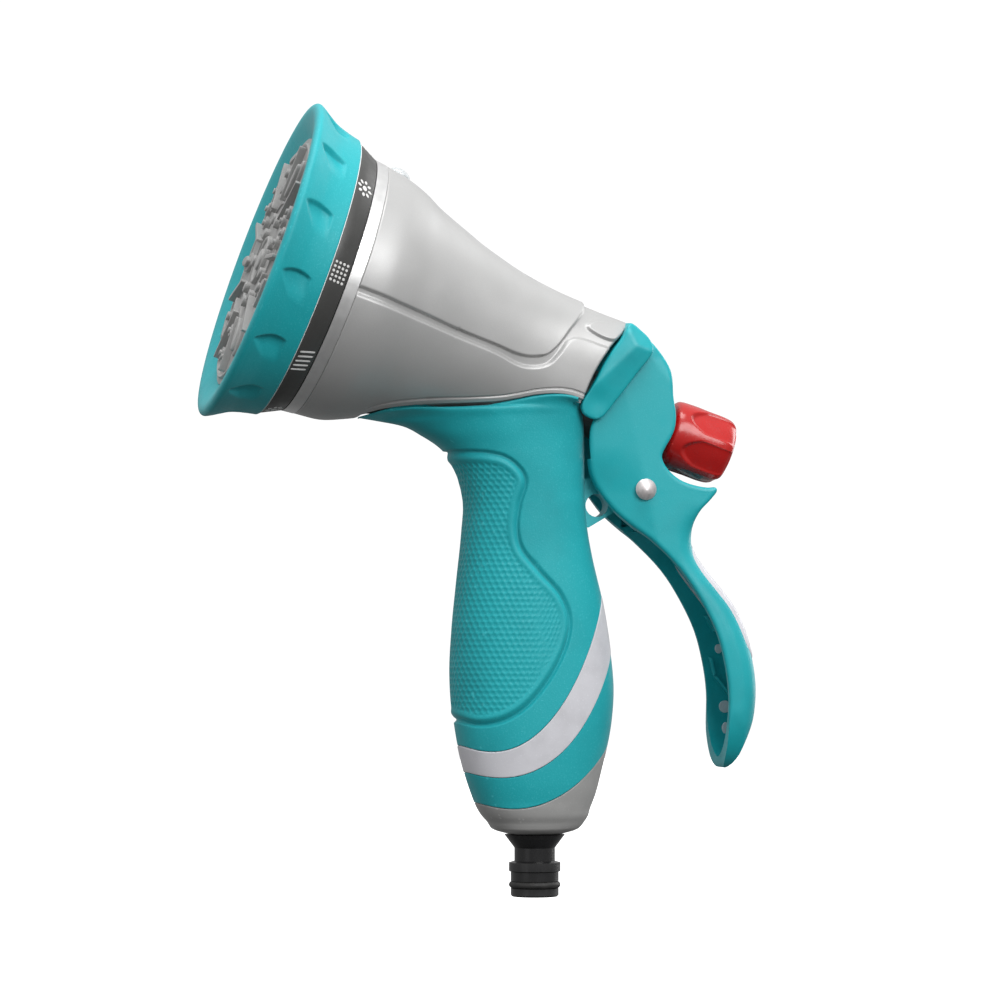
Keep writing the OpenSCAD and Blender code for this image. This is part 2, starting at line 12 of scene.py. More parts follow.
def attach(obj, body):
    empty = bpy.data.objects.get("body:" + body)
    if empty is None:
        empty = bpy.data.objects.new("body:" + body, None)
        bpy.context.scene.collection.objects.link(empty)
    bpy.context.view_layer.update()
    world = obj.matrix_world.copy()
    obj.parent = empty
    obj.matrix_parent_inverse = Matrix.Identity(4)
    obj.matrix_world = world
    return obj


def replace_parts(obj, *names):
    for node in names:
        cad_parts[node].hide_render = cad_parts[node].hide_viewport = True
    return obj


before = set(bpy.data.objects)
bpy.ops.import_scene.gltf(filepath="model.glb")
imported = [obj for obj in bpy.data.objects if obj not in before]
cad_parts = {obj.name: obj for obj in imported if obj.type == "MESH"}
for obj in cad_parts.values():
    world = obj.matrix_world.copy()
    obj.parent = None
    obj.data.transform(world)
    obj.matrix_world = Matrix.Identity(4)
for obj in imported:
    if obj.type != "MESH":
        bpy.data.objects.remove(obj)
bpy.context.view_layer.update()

# Lengths below are in millimetres, angles in radians unless a name says degrees.
MM = 0.001

# ---------------------------------------------------------------- camera and light

AIM = Vector((-11.7, 0.0, 130.6))
CAMERA_DISTANCE = 1250.0
CAMERA_AZIMUTH = math.radians(-12.5)
CAMERA_ELEVATION = math.radians(-2.0)
LENS = 136.3
SENSOR = 36.0
FLOOR_Z = -160.0


def make_camera():
    """A long lens at the photo's viewing angle, aimed at the middle of the gun."""
    away = Vector((
        math.sin(CAMERA_AZIMUTH) * math.cos(CAMERA_ELEVATION),
        -math.cos(CAMERA_AZIMUTH) * math.cos(CAMERA_ELEVATION),
        math.sin(CAMERA_ELEVATION),
    ))
    data = bpy.data.cameras.new("camera")
    data.lens = LENS
    data.sensor_width = SENSOR
    data.clip_start = 0.01
    data.clip_end = 20.0
    camera = bpy.data.objects.new("camera", data)
    camera.location = (AIM + away * CAMERA_DISTANCE) * MM
    camera.rotation_mode = "QUATERNION"
    camera.rotation_quaternion = (-away).to_track_quat("-Z", "Y")
    bpy.context.scene.collection.objects.link(camera)
    bpy.context.scene.camera = camera


def area_light(name, place, size, watts, colour=(1.0, 1.0, 1.0), aim=AIM):
    """A soft square light that faces the gun; place and aim in millimetres."""
    data = bpy.data.lights.new(name, "AREA")
    data.shape = "RECTANGLE"
    data.size, data.size_y = size[0] * MM, size[1] * MM
    data.energy = watts
    data.color = colour
    light = bpy.data.objects.new(name, data)
    light.location = Vector(place) * MM
    light.rotation_mode = "QUATERNION"
    light.rotation_quaternion = (aim - Vector(place)).to_track_quat("-Z", "Y")
    bpy.context.scene.collection.objects.link(light)


def make_studio():
    """White surroundings that light the gun from above, four softboxes and a pale floor."""
    world = bpy.data.worlds.new("studio")
    bpy.context.scene.world = world
    world.use_nodes = True
    nodes, links = world.node_tree.nodes, world.node_tree.links
    nodes.clear()
    out = nodes.new("ShaderNodeOutputWorld")
    mix = nodes.new("ShaderNodeMixShader")
    path = nodes.new("ShaderNodeLightPath")
    seen = nodes.new("ShaderNodeBackground")
    ambient = nodes.new("ShaderNodeBackground")
    seen.inputs["Color"].default_value = (1, 1, 1, 1)
    seen.inputs["Strength"].default_value = 1.05
    # The surroundings are brighter above than below
    place = nodes.new("ShaderNodeTexCoord")
    split = nodes.new("ShaderNodeSeparateXYZ")
    height = nodes.new("ShaderNodeMapRange")
    height.inputs["From Min"].default_value = -0.7
    height.inputs["From Max"].default_value = 0.9
    height.inputs["To Min"].default_value = 0.14
    height.inputs["To Max"].default_value = 0.95
    links.new(place.outputs["Generated"], split.inputs[0])
    links.new(split.outputs["Z"], height.inputs["Value"])
    links.new(height.outputs["Result"], ambient.inputs["Strength"])
    links.new(path.outputs["Is Camera Ray"], mix.inputs[0])
    links.new(ambient.outputs[0], mix.inputs[1])
    links.new(seen.outputs[0], mix.inputs[2])
    links.new(mix.outputs[0], out.inputs["Surface"])
    area_light("key", (260, -900, 620), (700, 500), 6.2)
    area_light("top", (-100, -150, 900), (900, 260), 4.4)
    area_light("fill", (-900, -600, 150), (500, 700), 0.3)
    area_light("rim", (700, 350, 350), (300, 700), 2.0)
    bpy.ops.mesh.primitive_plane_add(size=12, location=(0, 0, FLOOR_Z * MM))
    floor = bpy.context.object
    floor.name = "studio_floor"
    floor.visible_diffuse = False
    floor.visible_glossy = False
    paint = bpy.data.materials.new("floor_paint")
    paint.use_nodes = True
    shader = paint.node_tree.nodes["Principled BSDF"]
    shader.inputs["Base Color"].default_value = (0.9, 0.9, 0.9, 1)
    shader.inputs["Roughness"].default_value = 0.9
    shader.inputs["Emission Color"].default_value = (1, 1, 1, 1)
    shader.inputs["Emission Strength"].default_value = 0.95
    floor.data.materials.append(paint)


bpy.context.scene.view_settings.view_transform = "Standard"
make_camera()
make_studio()

# ---------------------------------------------------------------- materials


class Paint:
    """A material whose colour, roughness and relief all vary by small procedural layers."""

    def __init__(self, name, colour, roughness, **sockets):
        self.material = bpy.data.materials.new(name)
        self.material.use_nodes = True
        self.nodes = self.material.node_tree.nodes
        self.links = self.material.node_tree.links
        self.shader = self.nodes["Principled BSDF"]
        self.place = self.nodes.new("ShaderNodeTexCoord").outputs["Object"]
        self.normal = None
        self.tint = None
        self.shader.inputs["Base Color"].default_value = (*colour, 1)
        self.shader.inputs["Roughness"].default_value = roughness
        for socket, value in sockets.items():
            self.shader.inputs[socket.replace("_", " ")].default_value = value
        self.colour = colour
        self.roughness = roughness

    def noise(self, size, detail=3.0, stretch=None):
        """A noise value whose blotches are about size millimetres across."""
        texture = self.nodes.new("ShaderNodeTexNoise")
        texture.inputs["Scale"].default_value = 1 / (size * MM)
        texture.inputs["Detail"].default_value = detail
        source = self.place
        if stretch:
            mapping = self.nodes.new("ShaderNodeMapping")
            mapping.inputs["Scale"].default_value = stretch
            self.links.new(source, mapping.inputs["Vector"])
            source = mapping.outputs["Vector"]
        self.links.new(source, texture.inputs["Vector"])
        return texture.outputs["Fac"]

    def ramp(self, value, low, high, start, end):
        """Maps value from the range low..high to start..end, held at both ends."""
        node = self.nodes.new("ShaderNodeMapRange")
        node.inputs["From Min"].default_value = low
        node.inputs["From Max"].default_value = high
        node.inputs["To Min"].default_value = start
        node.inputs["To Max"].default_value = end
        self.links.new(value, node.inputs["Value"])
        return node.outputs["Result"]

    def grain(self, size, height, detail=2.0, stretch=None):
        """Adds a bump layer of the given blotch size and height, both in millimetres."""
        bump = self.nodes.new("ShaderNodeBump")
        bump.inputs["Distance"].default_value = height * MM
        bump.inputs["Strength"].default_value = 1.0
        self.links.new(self.noise(size, detail, stretch), bump.inputs["Height"])
        if self.normal:
            self.links.new(self.normal, bump.inputs["Normal"])
        self.normal = bump.outputs["Normal"]
        self.links.new(self.normal, self.shader.inputs["Normal"])
        return self

    def mottle(self, size, other, low=0.35, high=0.7):
        """Blends the base colour towards another one in soft blotches."""
        return self.layer(self.ramp(self.noise(size), low, high, 0, 1), other)

    def edges(self, other, low=0.53, high=0.62):
        """Paints light and shade by pointiness: on convex edges it blends towards another colour as a
        painted highlight; where high is the lower limit it blends in hollows instead, as painted shade.
        """
        pointed = self.nodes.new("ShaderNodeNewGeometry").outputs["Pointiness"]
        return self.layer(self.ramp(pointed, low, high, 0, 1), other)

    def layer(self, factor, other):
        """Mixes another colour over the colour so far."""
        mix = self.nodes.new("ShaderNodeMix")
        mix.data_type = "RGBA"
        mix.inputs["A"].default_value = (*self.colour, 1)
        if self.tint:
            self.links.new(self.tint, mix.inputs["A"])
        mix.inputs["B"].default_value = (*other, 1)
        self.links.new(factor, mix.inputs["Factor"])
        self.tint = mix.outputs["Result"]
        self.links.new(self.tint, self.shader.inputs["Base Color"])
        return self

    def gloss(self, size, spread):
        """Lets the roughness wander by plus or minus spread."""
        low, high = self.roughness - spread, self.roughness + spread
        value = self.ramp(self.noise(size), 0.3, 0.7, low, high)
        self.links.new(value, self.shader.inputs["Roughness"])
        return self


# TEAL_PALE and TEAL_DEEP give random tone blotches, and also the painted highlight on convex edges and the
# painted shade in hollows
TEAL = (0.006, 0.40, 0.445)
TEAL_DEEP = (0.003, 0.30, 0.34)
TEAL_PALE = (0.04, 0.50, 0.55)


def teal_rubber():
    paint = Paint("teal_rubber", TEAL, 0.52, Specular_IOR_Level=0.42, Sheen_Weight=0.08)
    paint.mottle(0.5, TEAL_PALE, 0.55, 0.8).mottle(25, TEAL_DEEP, 0.5, 0.9)
    # Painted shade: TEAL_DEEP darkens the hollows. Painted highlight: TEAL_PALE pales the convex edges.
    paint.edges(TEAL_DEEP, 0.485, 0.40).edges(TEAL_PALE, 0.53, 0.66)
    return paint.gloss(6, 0.06).grain(0.45, 0.05).grain(1.6, 0.03).material


def teal_plastic():
    paint = Paint("teal_plastic", TEAL, 0.40, Specular_IOR_Level=0.5)
    paint.mottle(0.35, TEAL_PALE, 0.6, 0.85).mottle(18, TEAL_DEEP, 0.5, 0.9)
    # Painted highlight: TEAL_PALE pales the convex edges
    paint.edges(TEAL_PALE, 0.53, 0.64)
    return paint.gloss(5, 0.06).grain(0.35, 0.025).grain(3, 0.02).material


def silver_paint():
    paint = Paint("silver_paint", (0.50, 0.50, 0.497), 0.43, Metallic=0.35)
    paint.mottle(0.22, (0.57, 0.57, 0.565), 0.5, 0.8).mottle(30, (0.46, 0.46, 0.455), 0.4, 0.9)
    return paint.gloss(8, 0.05).grain(0.25, 0.012).grain(14, 0.05).material


def plated_trim():
    paint = Paint("plated_trim", (0.78, 0.78, 0.77), 0.36, Metallic=0.8)
    # The mottle is random tone; the edges layer is a painted highlight that whitens the convex edges
    paint.mottle(2, (0.72, 0.72, 0.72)).edges((0.9, 0.9, 0.9))
    return paint.gloss(3, 0.06).grain(0.2, 0.006).material


def moulded(name, colour, roughness, grain_height=0.02):
    """Ordinary moulded plastic: faint flow mottling, a painted highlight that pales the convex edges, and a
    fine grain.
    """
    pale = tuple(min(1.0, c * 1.25 + 0.02) for c in colour)
    deep = tuple(c * 0.82 for c in colour)
    paint = Paint(name, colour, roughness)
    # pale serves both the small random blotches and the painted highlight on convex edges
    paint.mottle(9, deep, 0.45, 0.85).mottle(0.5, pale, 0.6, 0.9).edges(pale)
    return paint.gloss(4, min(0.07, roughness / 3)).grain(0.4, grain_height).material


def seal_rubber():
    paint = Paint("seal_rubber", (0.02, 0.02, 0.02), 0.6)
    return paint.mottle(3, (0.035, 0.034, 0.033)).gloss(1.5, 0.1).grain(0.3, 0.02).material


def bright_steel():
    paint = Paint("bright_steel", (0.74, 0.69, 0.69), 0.46, Metallic=0.7)
    # The mottle is random tone; the edges layer is a painted highlight on the convex edges
    paint.mottle(1.2, (0.56, 0.53, 0.53)).edges((0.8, 0.78, 0.78))
    return paint.gloss(1.5, 0.08).grain(0.3, 0.01, stretch=(1, 1, 6)).material


def red_plastic():
    paint = Paint("red_plastic", (0.50, 0.006, 0.005), 0.24, Coat_Weight=0.35, Coat_Roughness=0.18)
    # The edges layer is a painted highlight: a brighter red on the convex edges
    paint.mottle(6, (0.42, 0.006, 0.006), 0.45, 0.9).edges((0.78, 0.05, 0.04), 0.53, 0.63)
    return paint.gloss(3, 0.06).grain(0.5, 0.02).grain(4, 0.03).material


def milky_clear():
    paint = Paint("milky_clear", (0.80, 0.83, 0.84), 0.22, Transmission_Weight=0.35, IOR=1.49)
    return paint.mottle(2, (0.7, 0.74, 0.76)).gloss(2, 0.06).grain(0.6, 0.01).material


PAINTS = {
    "teal_soft": teal_rubber(),
    "teal_plastic": teal_plastic(),
    "silver_shell": silver_paint(),
    "bright_trim": plated_trim(),
    "pale_stripe": moulded("pale_stripe", (0.66, 0.66, 0.70), 0.42),
    "grey_plastic": moulded("grey_plastic", (0.36, 0.36, 0.355), 0.45),
    "dark_plastic": moulded("dark_plastic", (0.060, 0.060, 0.058), 0.38, 0.03),
    "white_print": moulded("white_print", (0.78, 0.78, 0.77), 0.5, 0.01),
    "clear_pointer": milky_clear(),
    "black_plastic": moulded("black_plastic", (0.012, 0.012, 0.013), 0.28, 0.012),
    "inner_plastic": moulded("inner_plastic", (0.24, 0.24, 0.25), 0.5),
    "seal_rubber": seal_rubber(),
    "steel": bright_steel(),
    "red_plastic": red_plastic(),
}


def dress(piece, slot_name):
    """Gives a piece the material made for the record's slot of that name."""
    piece.data.materials.clear()
    piece.data.materials.append(PAINTS[slot_name])


# ---------------------------------------------------------------- curves and grids

HEAD_TILT = math.radians(19.5)
HEAD_ORIGIN = np.array((-76.4, 0.0, 203.0))
HEAD_BACK = np.array((math.cos(HEAD_TILT), 0.0, -math.sin(HEAD_TILT)))
HEAD_UP = np.array((math.sin(HEAD_TILT), 0.0, math.cos(HEAD_TILT)))


def head_point(s, t, y):
    """A point s behind the dial's front and t above the head axis."""
    s, t, y = np.broadcast_arrays(*(np.asarray(v, float) for v in (s, t, y)))
    point = HEAD_ORIGIN + s[..., None] * HEAD_BACK + t[..., None] * HEAD_UP
    point[..., 1] += y
    return point


def head_place(point):
    """The inverse of head_point: arrays s, t and y."""
    rel = point - HEAD_ORIGIN
    return rel @ HEAD_BACK, rel @ HEAD_UP, rel[..., 1]


def blend(start, end, slope_start, slope_end, h, u):
    """Cubic between two values with the given slopes; h is the interval and u runs 0 to 1."""
    return (
        start * (2 * u**3 - 3 * u**2 + 1)
        + end * (3 * u**2 - 2 * u**3)
        + slope_start * h * (u**3 - 2 * u**2 + u)
        + slope_end * h * (u**3 - u**2)
    )


def smooth_table(rows):
    """Smooth interpolation of a table's other columns over its first one."""
    rows = np.array(rows, float)
    x, values = rows[:, 0], rows[:, 1:]
    slopes = np.gradient(values, x, axis=0)

    def at(t):
        t = np.clip(np.asarray(t, float), x[0], x[-1])
        i = np.clip(np.searchsorted(x, t) - 1, 0, len(x) - 2)
        h = x[i + 1] - x[i]
        u = ((t - x[i]) / h)[..., None]
        return blend(values[i], values[i + 1], slopes[i], slopes[i + 1], h[..., None], u)

    return at


def smooth_path(points, steps=8, closed=False):
    """A rounded curve through the points, with the given steps between neighbours."""
    points = np.array(points, float)
    if closed:
        points = np.vstack([points[-2:], points, points[:3]])
    lengths = np.linalg.norm(np.diff(points, axis=0), axis=1) ** 0.5
    place = np.concatenate([[0], np.cumsum(lengths)])
    curve = smooth_table(np.column_stack([place, points]))
    first, last = (2, len(points) - 3) if closed else (0, len(points) - 1)
    ts = [
        place[i] + (place[i + 1] - place[i]) * k / steps
        for i in range(first, last)
        for k in range(steps)
    ]
    if not closed:
        ts.append(place[last])
    return curve(np.array(ts))


def distance(points, path, closed=False):
    """Distance of each 2-D point from a path of straight pieces."""
    path = np.array(path, float)
    if closed:
        path = np.vstack([path, path[:1]])
    flat = points.reshape(-1, 2)
    best = np.full(len(flat), np.inf)
    for a, b in zip(path[:-1], path[1:]):
        d = b - a
        u = np.clip(((flat - a) @ d) / max(d @ d, 1e-12), 0, 1)
        best = np.minimum(best, np.hypot(*(flat - a - u[:, None] * d).T))
    return best.reshape(points.shape[:-1])


def inside(points, outline):
    """True where a 2-D point lies inside a closed outline."""
    x, y = points[..., 0], points[..., 1]
    odd = np.zeros(x.shape, bool)
    outline = np.array(outline, float)
    for (x1, y1), (x2, y2) in zip(outline, np.roll(outline, -1, axis=0)):
        if y1 == y2:
            continue
        cross = (y1 > y) != (y2 > y)
        odd ^= cross & (x < (x2 - x1) * (y - y1) / (y2 - y1) + x1)
    return odd


def depth_inside(points, outline):
    """Signed distance from a closed outline, positive inside."""
    d = distance(points, outline, closed=True)
    return np.where(inside(points, outline), d, -d)


def ease(value, low, high):
    """0 below low, 1 above high, and an S-curve between them."""
    u = np.clip((value - low) / (high - low), 0, 1)
    return u * u * (3 - 2 * u)


def rounded_drop(d, radius):
    """How far a surface falls at distance d from its edge, for an edge of that radius."""
    u = np.clip(1 - d / radius, 0, 1)
    return radius * (1 - np.sqrt(1 - u * u))


def grid_normals(grid, wrap=False):
    """Unit normals of a grid of points; wrap joins its last column to its first."""
    if wrap:
        wide = np.concatenate([grid[:, -1:], grid, grid[:, :1]], axis=1)
        across = np.gradient(wide, axis=1)[:, 1:-1]
    else:
        across = np.gradient(grid, axis=1)
    along = np.gradient(grid, axis=0)
    normal = np.cross(along, across)
    return normal / np.maximum(np.linalg.norm(normal, axis=-1, keepdims=True), 1e-9)


def grid_faces(rows, columns, wrap=False, start=0):
    """Quads over a grid of rows x columns points."""
    i = np.arange(rows - 1)[:, None]
    j = np.arange(columns if wrap else columns - 1)[None, :]
    k = (j + 1) % columns
    corners = [i * columns + j, i * columns + k, (i + 1) * columns + k, (i + 1) * columns + j]
    return np.stack(np.broadcast_arrays(*corners), axis=-1).reshape(-1, 4) + start


def loop_faces(rows, columns):
    """Quads of a grid that closes on itself both ways, like a ring."""
    j = np.arange(columns)
    k = (j + 1) % columns
    last = (rows - 1) * columns
    closing = np.stack([last + j, last + k, k, j], axis=-1)
    return np.vstack([grid_faces(rows, columns, wrap=True), closing])


def capped_faces(rows, columns):
    """Quads of a tube of rings with a flat face over each end."""
    faces = [list(f) for f in grid_faces(rows, columns, wrap=True)]
    faces.append(list(range(columns))[::-1])
    faces.append([(rows - 1) * columns + i for i in range(columns)])
    return faces


def mesh_object(name, points, faces, smooth=True, smooth_angle=None):
    """A Blender object from points in millimetres, with every face turned outwards."""
    mesh = bpy.data.meshes.new(name)
    mesh.from_pydata([tuple(p) for p in np.asarray(points) * MM], [], [list(map(int, f)) for f in faces])
    mesh.validate()
    work = bmesh.new()
    work.from_mesh(mesh)
    bmesh.ops.remove_doubles(work, verts=work.verts, dist=1e-6)
    bmesh.ops.recalc_face_normals(work, faces=work.faces)
    work.to_mesh(mesh)
    work.free()
    if smooth:
        mesh.polygons.foreach_set("use_smooth", [True] * len(mesh.polygons))
    piece = bpy.data.objects.new(name, mesh)
    bpy.context.scene.collection.objects.link(piece)
    if smooth_angle:
        mesh.set_sharp_from_angle(angle=math.radians(smooth_angle))
    return piece


def closed_band(name, outer, inner):
    """A closed solid between two matching grids whose columns go all the way round."""
    loop = np.concatenate([outer, inner[::-1]], axis=0)
    return mesh_object(name, loop.reshape(-1, 3), loop_faces(*loop.shape[:2]))


def closed_shell(name, outer, inner, smooth_angle=None):
    """A closed solid between two matching grids with open edges."""
    rows, columns = outer.shape[:2]
    count = rows * columns
    rim = np.concatenate([
        np.arange(columns),
        columns * np.arange(1, rows) + columns - 1,
        (rows - 1) * columns + np.arange(columns - 2, -1, -1),
        columns * np.arange(rows - 2, 0, -1),
    ])
    following = np.roll(rim, -1)
    sides = np.stack([rim, following, following + count, rim + count], axis=-1)
    faces = np.vstack([
        grid_faces(rows, columns),
        grid_faces(rows, columns, start=count)[:, ::-1],
        sides,
    ])
    points = np.concatenate([outer.reshape(-1, 3), inner.reshape(-1, 3)])
    return mesh_object(name, points, faces, smooth_angle=smooth_angle)


def power(value, exponent):
    """A power that keeps the value's sign."""
    return np.sign(value) * np.abs(value) ** exponent


# ---------------------------------------------------------------- silver casing

# Place along the head axis, height above it, depth below it, half width and squareness
BARREL = smooth_table([
    (11.2, 43.3, 43.3, 43.3, 1), (21, 41.5, 42, 41.6, 1), (27.5, 39.3, 39.3, 39, 1),
    (32.4, 36.9, 37, 36.6, 0.98), (38.2, 34.7, 35, 34, 0.96), (44, 32.7, 33, 31.4, 0.94),
    (50, 30.6, 30.8, 29, 0.92), (57, 28.7, 28.8, 26.6, 0.9), (64, 27, 27.2, 24.4, 0.88),
    (72, 25.7, 26, 22.3, 0.86), (81, 24.8, 25, 20.6, 0.84), (90, 24.3, 24.5, 19.4, 0.8),
    (97, 24.3, 24.6, 18.6, 0.76),
])
BARREL_FRONT = 11.2
BARREL_BACK = 97.0
REAR_LEAN = 0.0103
LEAN_START = 80
LEAN_FOOT = 6
CASING_WALL = 2.0

# Where the soft grip's upper edge runs on the casing: place along the axis and height
SEAM = smooth_path([
    (31.2, -37.6), (36.8, -33.9), (48, -28.5), (61.7, -23), (70.7, -19.1),
    (75.9, -16.2), (81.1, -13.1), (86.6, -10.6), (91.6, -9.2), (97, -8.9),
])
SEAM_TIP = 31.2


def seam_height(s):
    """Height of the grip's upper edge on the casing at place s along the axis."""
    return np.interp(s, SEAM[:, 0], SEAM[:, 1])


def barrel_point(s, a):
    """A point on the casing at angle a round from underneath (0) to the top (pi)."""
    s, a = np.broadcast_arrays(np.asarray(s, float), np.asarray(a, float))
    up, down, half, square = np.moveaxis(BARREL(s), -1, 0)
    t = -np.where(np.cos(a) < 0, up, down) * power(np.cos(a), square)
    lean = REAR_LEAN * ease(s, LEAN_START, BARREL_BACK) * np.clip(t + LEAN_FOOT, 0, None) ** 2
    return head_point(s + lean, t, half * power(np.sin(a), square))


def barrel_angle(s, t):
    """The angle at which the casing's side is at height t."""
    up, down, half, square = np.moveaxis(BARREL(s), -1, 0)
    part = np.clip(-t / np.where(t > 0, up, down), -1, 1)
    return np.arccos(power(part, 1 / square))


# Edges of the raised upper panel and of the lower body, either side of a sunk channel
PANEL_EDGE = smooth_path([
    (0, -3.0), (13.5, -2.7), (35.2, -2.4), (49, -2.4), (62.7, -2.0), (71, -2), (76, -0.8), (80.1, 1.6),
    (82.7, 5.9), (85.3, 13.2), (87.3, 18), (88.6, 22.7), (89, 30),
], 5)
BODY_EDGE = smooth_path([
    (0, -6.1), (13.5, -5.8), (36.2, -5.4), (50.2, -5.2), (63.8, -5.0), (72.4, -5.7), (77.5, -4.6),
    (82, -1.7), (84.4, 3.2), (86.1, 8.2), (88.3, 9.9), (99.9, 10.7), (112, 11),
], 5)
PANEL = np.vstack([PANEL_EDGE, [(89, 60), (-20, 60), (-20, -3)]])
BODY = np.vstack([BODY_EDGE, [(112, -60), (-20, -60), (-20, -6.1)]])
BLOCK = smooth_path([(90.6, 15.4), (100.6, 14.3), (103.4, 20.4), (92.3, 18.3)], 6, closed=True)
CHANNEL_DEPTH = 1.1
BLOCK_RAISE = 0.9
# A fine line runs along the casing above the seam, and the casing steps in at the seam
LINE_ABOVE_SEAM = 2.6
LINE_DEPTH = 0.5
SEAM_GAP = 0.45
SEAM_STEP = 1.3
# How far the casing reaches below the seam: at its front, and how much less at its rear
SEAM_TUCK = 3.0
TUCK_LOSS = 2.3


def casing_relief(s, t):
    """Height of the casing's styling over its plain surface."""
    flat = np.stack([s, t], axis=-1)
    panel = depth_inside(flat, PANEL)
    body = depth_inside(flat, BODY)
    sunk = ease(-panel, -0.15, 0.45) * ease(-body, -0.3, 1.1)
    relief = -CHANNEL_DEPTH * sunk
    relief += BLOCK_RAISE * ease(depth_inside(flat, BLOCK), -0.4, 0.6)
    above = t - seam_height(s)
    behind_tip = ease(s, SEAM_TIP - 1, SEAM_TIP + 2)
    relief -= LINE_DEPTH * ease(-np.abs(above - LINE_ABOVE_SEAM), -0.5, -0.1) * behind_tip
    return relief - SEAM_STEP * ease(-above, -SEAM_GAP - 0.5, -SEAM_GAP) * behind_tip


def casing_half(side, name):
    """One moulded half of the casing, from the grip's edge to the seam on top."""
    rows, columns = 300, 330
    s = np.linspace(BARREL_FRONT, BARREL_BACK, rows)[:, None]
    tuck = SEAM_TUCK - TUCK_LOSS * ease(s, 66, 82)
    low = barrel_angle(s, np.where(s < SEAM_TIP, -60, seam_height(s) - tuck))
    u = np.linspace(0, 1, columns)[None, :]
    a = low + (math.pi - low) * u
    grid = barrel_point(s, a)
    normals = grid_normals(grid)
    normals *= np.sign((normals * (grid - head_point(s, 0, 0))).sum(-1, keepdims=True))
    s_at, t_at, y_at = head_place(grid)
    relief = casing_relief(s_at, t_at)
    relief -= rounded_drop(y_at, 0.25) * (t_at > 0)
    relief -= rounded_drop(s_at - BARREL_FRONT, 0.5)
    relief -= rounded_drop(BARREL_BACK - s, 0.7)
    outer = grid + normals * relief[..., None]
    inner = grid - normals * CASING_WALL
    inner[:, -1, 1] = 0
    outer[:, -1, 1] = 0.02
    for layer in (outer, inner):
        layer[..., 1] *= side
    half = closed_shell(name, outer, inner)
    dress(half, "silver_shell")
    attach(half, "gun_body")
    return half


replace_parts(casing_half(1, "casing_left"), "barrel_shell_left")
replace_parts(casing_half(-1, "casing_right"), "barrel_shell_right")

# ---------------------------------------------------------------- handle

HANDLE_ROUND = 0.85
# The handle's front edge, rear edge and half width, each over height
FRONT_EDGE = smooth_table([
    (20.5, -8), (21.3, -11.5), (24.5, -15.6), (29, -19), (33, -20.7), (41, -23.4), (57, -26.8),
    (73, -28.1), (88, -27.4), (104, -25.8), (120, -24.1), (130, -23.6), (136, -24.8),
    (140, -26.2), (144, -28.6),
])
REAR_EDGE = smooth_table([
    (20.5, 8), (21.3, 11.5), (24.5, 16.2), (29, 18.2), (33, 19.8), (41, 22), (57, 25.5),
    (68, 26.3), (80, 25.3), (96, 22.8), (112, 19), (120, 17.5), (128, 16.6), (144, 16.3),
])
HALF_WIDTH = smooth_table([
    (20.5, 8), (21.3, 10.5), (24.5, 13.2), (33, 15.4), (45, 16.6), (75, 17), (100, 16.2),
    (120, 15.6), (136, 16), (144, 16.6),
])
# Sections where the grip sweeps forward: front point, rear point, half width, how pointed the
# front is and how round the rear is
SADDLE = [
    ((-31.8, 147.8), (16.2, 150), 17.0, 0.05, 0.82),
    ((-37.5, 151.4), (15.9, 154), 17.5, 0.15, 0.74),
    ((-44.5, 154.7), (15.2, 158), 18.0, 0.3, 0.62),
    ((-53, 156.2), (13.9, 160.6), 18.4, 0.5, 0.5),
]
HANDLE_FOOT = 20.5
HANDLE_SHOULDER = 144.0
GRIP_TOP = 156.0


def handle_ring(a, z):
    """A level section of the handle at height z."""
    front, rear = FRONT_EDGE(z)[..., 0], REAR_EDGE(z)[..., 0]
    across = HALF_WIDTH(z)[..., 0] * power(np.sin(a), HANDLE_ROUND)
    along = (front + rear) / 2 + (rear - front) / 2 * power(np.cos(a), HANDLE_ROUND)
    return np.stack(np.broadcast_arrays(along, across, z), axis=-1)


def saddle_ring(a, front, rear, half, tip, square):
    """A sloping ring between the handle and the casing; its rear half squares up."""
    square = np.where(np.cos(a) > 0, square, HANDLE_ROUND)
    c = power(np.cos(a), square)
    middle, reach = (np.array(rear) + front) / 2, (np.array(rear) - front) / 2
    narrow = np.where(c < 0, 1 - tip * np.abs(c) ** 1.5, 1)
    y = half * power(np.sin(a), square) * narrow
    z = middle[1] + reach[1] * c + tip * 3.6 * (1 - c * c)
    return np.stack([middle[0] + reach[0] * c, y, z], axis=-1)


SEAM_PROUD = 0.35
SEAM_DROP = 0.07


def seam_ring(a):
    """The grip's upper edge, lying on the casing and closing behind it."""
    c = power(np.cos(a), HANDLE_ROUND)
    tip, back = SEAM_TIP, BARREL_BACK + 0.4
    s = tip + (back - tip) * (1 + c) / 2
    edge = barrel_point(s, barrel_angle(s, seam_height(s)))
    edge[..., 1] *= 1 + SEAM_PROUD / 18
    edge[..., 2] -= SEAM_DROP * np.clip(-c, 0, 1)
    corner = 0.93
    closing = np.sqrt(np.clip(1 - np.clip((c - corner) / (1 - corner), 0, 1) ** 2, 0, 1))
    edge[..., 1] *= closing * np.sign(np.sin(a) + 1e-12)
    return edge


# The skin thins to this share of its wall over this span of x, at the forward tip
TIP_WALL = 0.12
TIP_SPAN = (-57, -44)
JOINT_GAP = 0.06


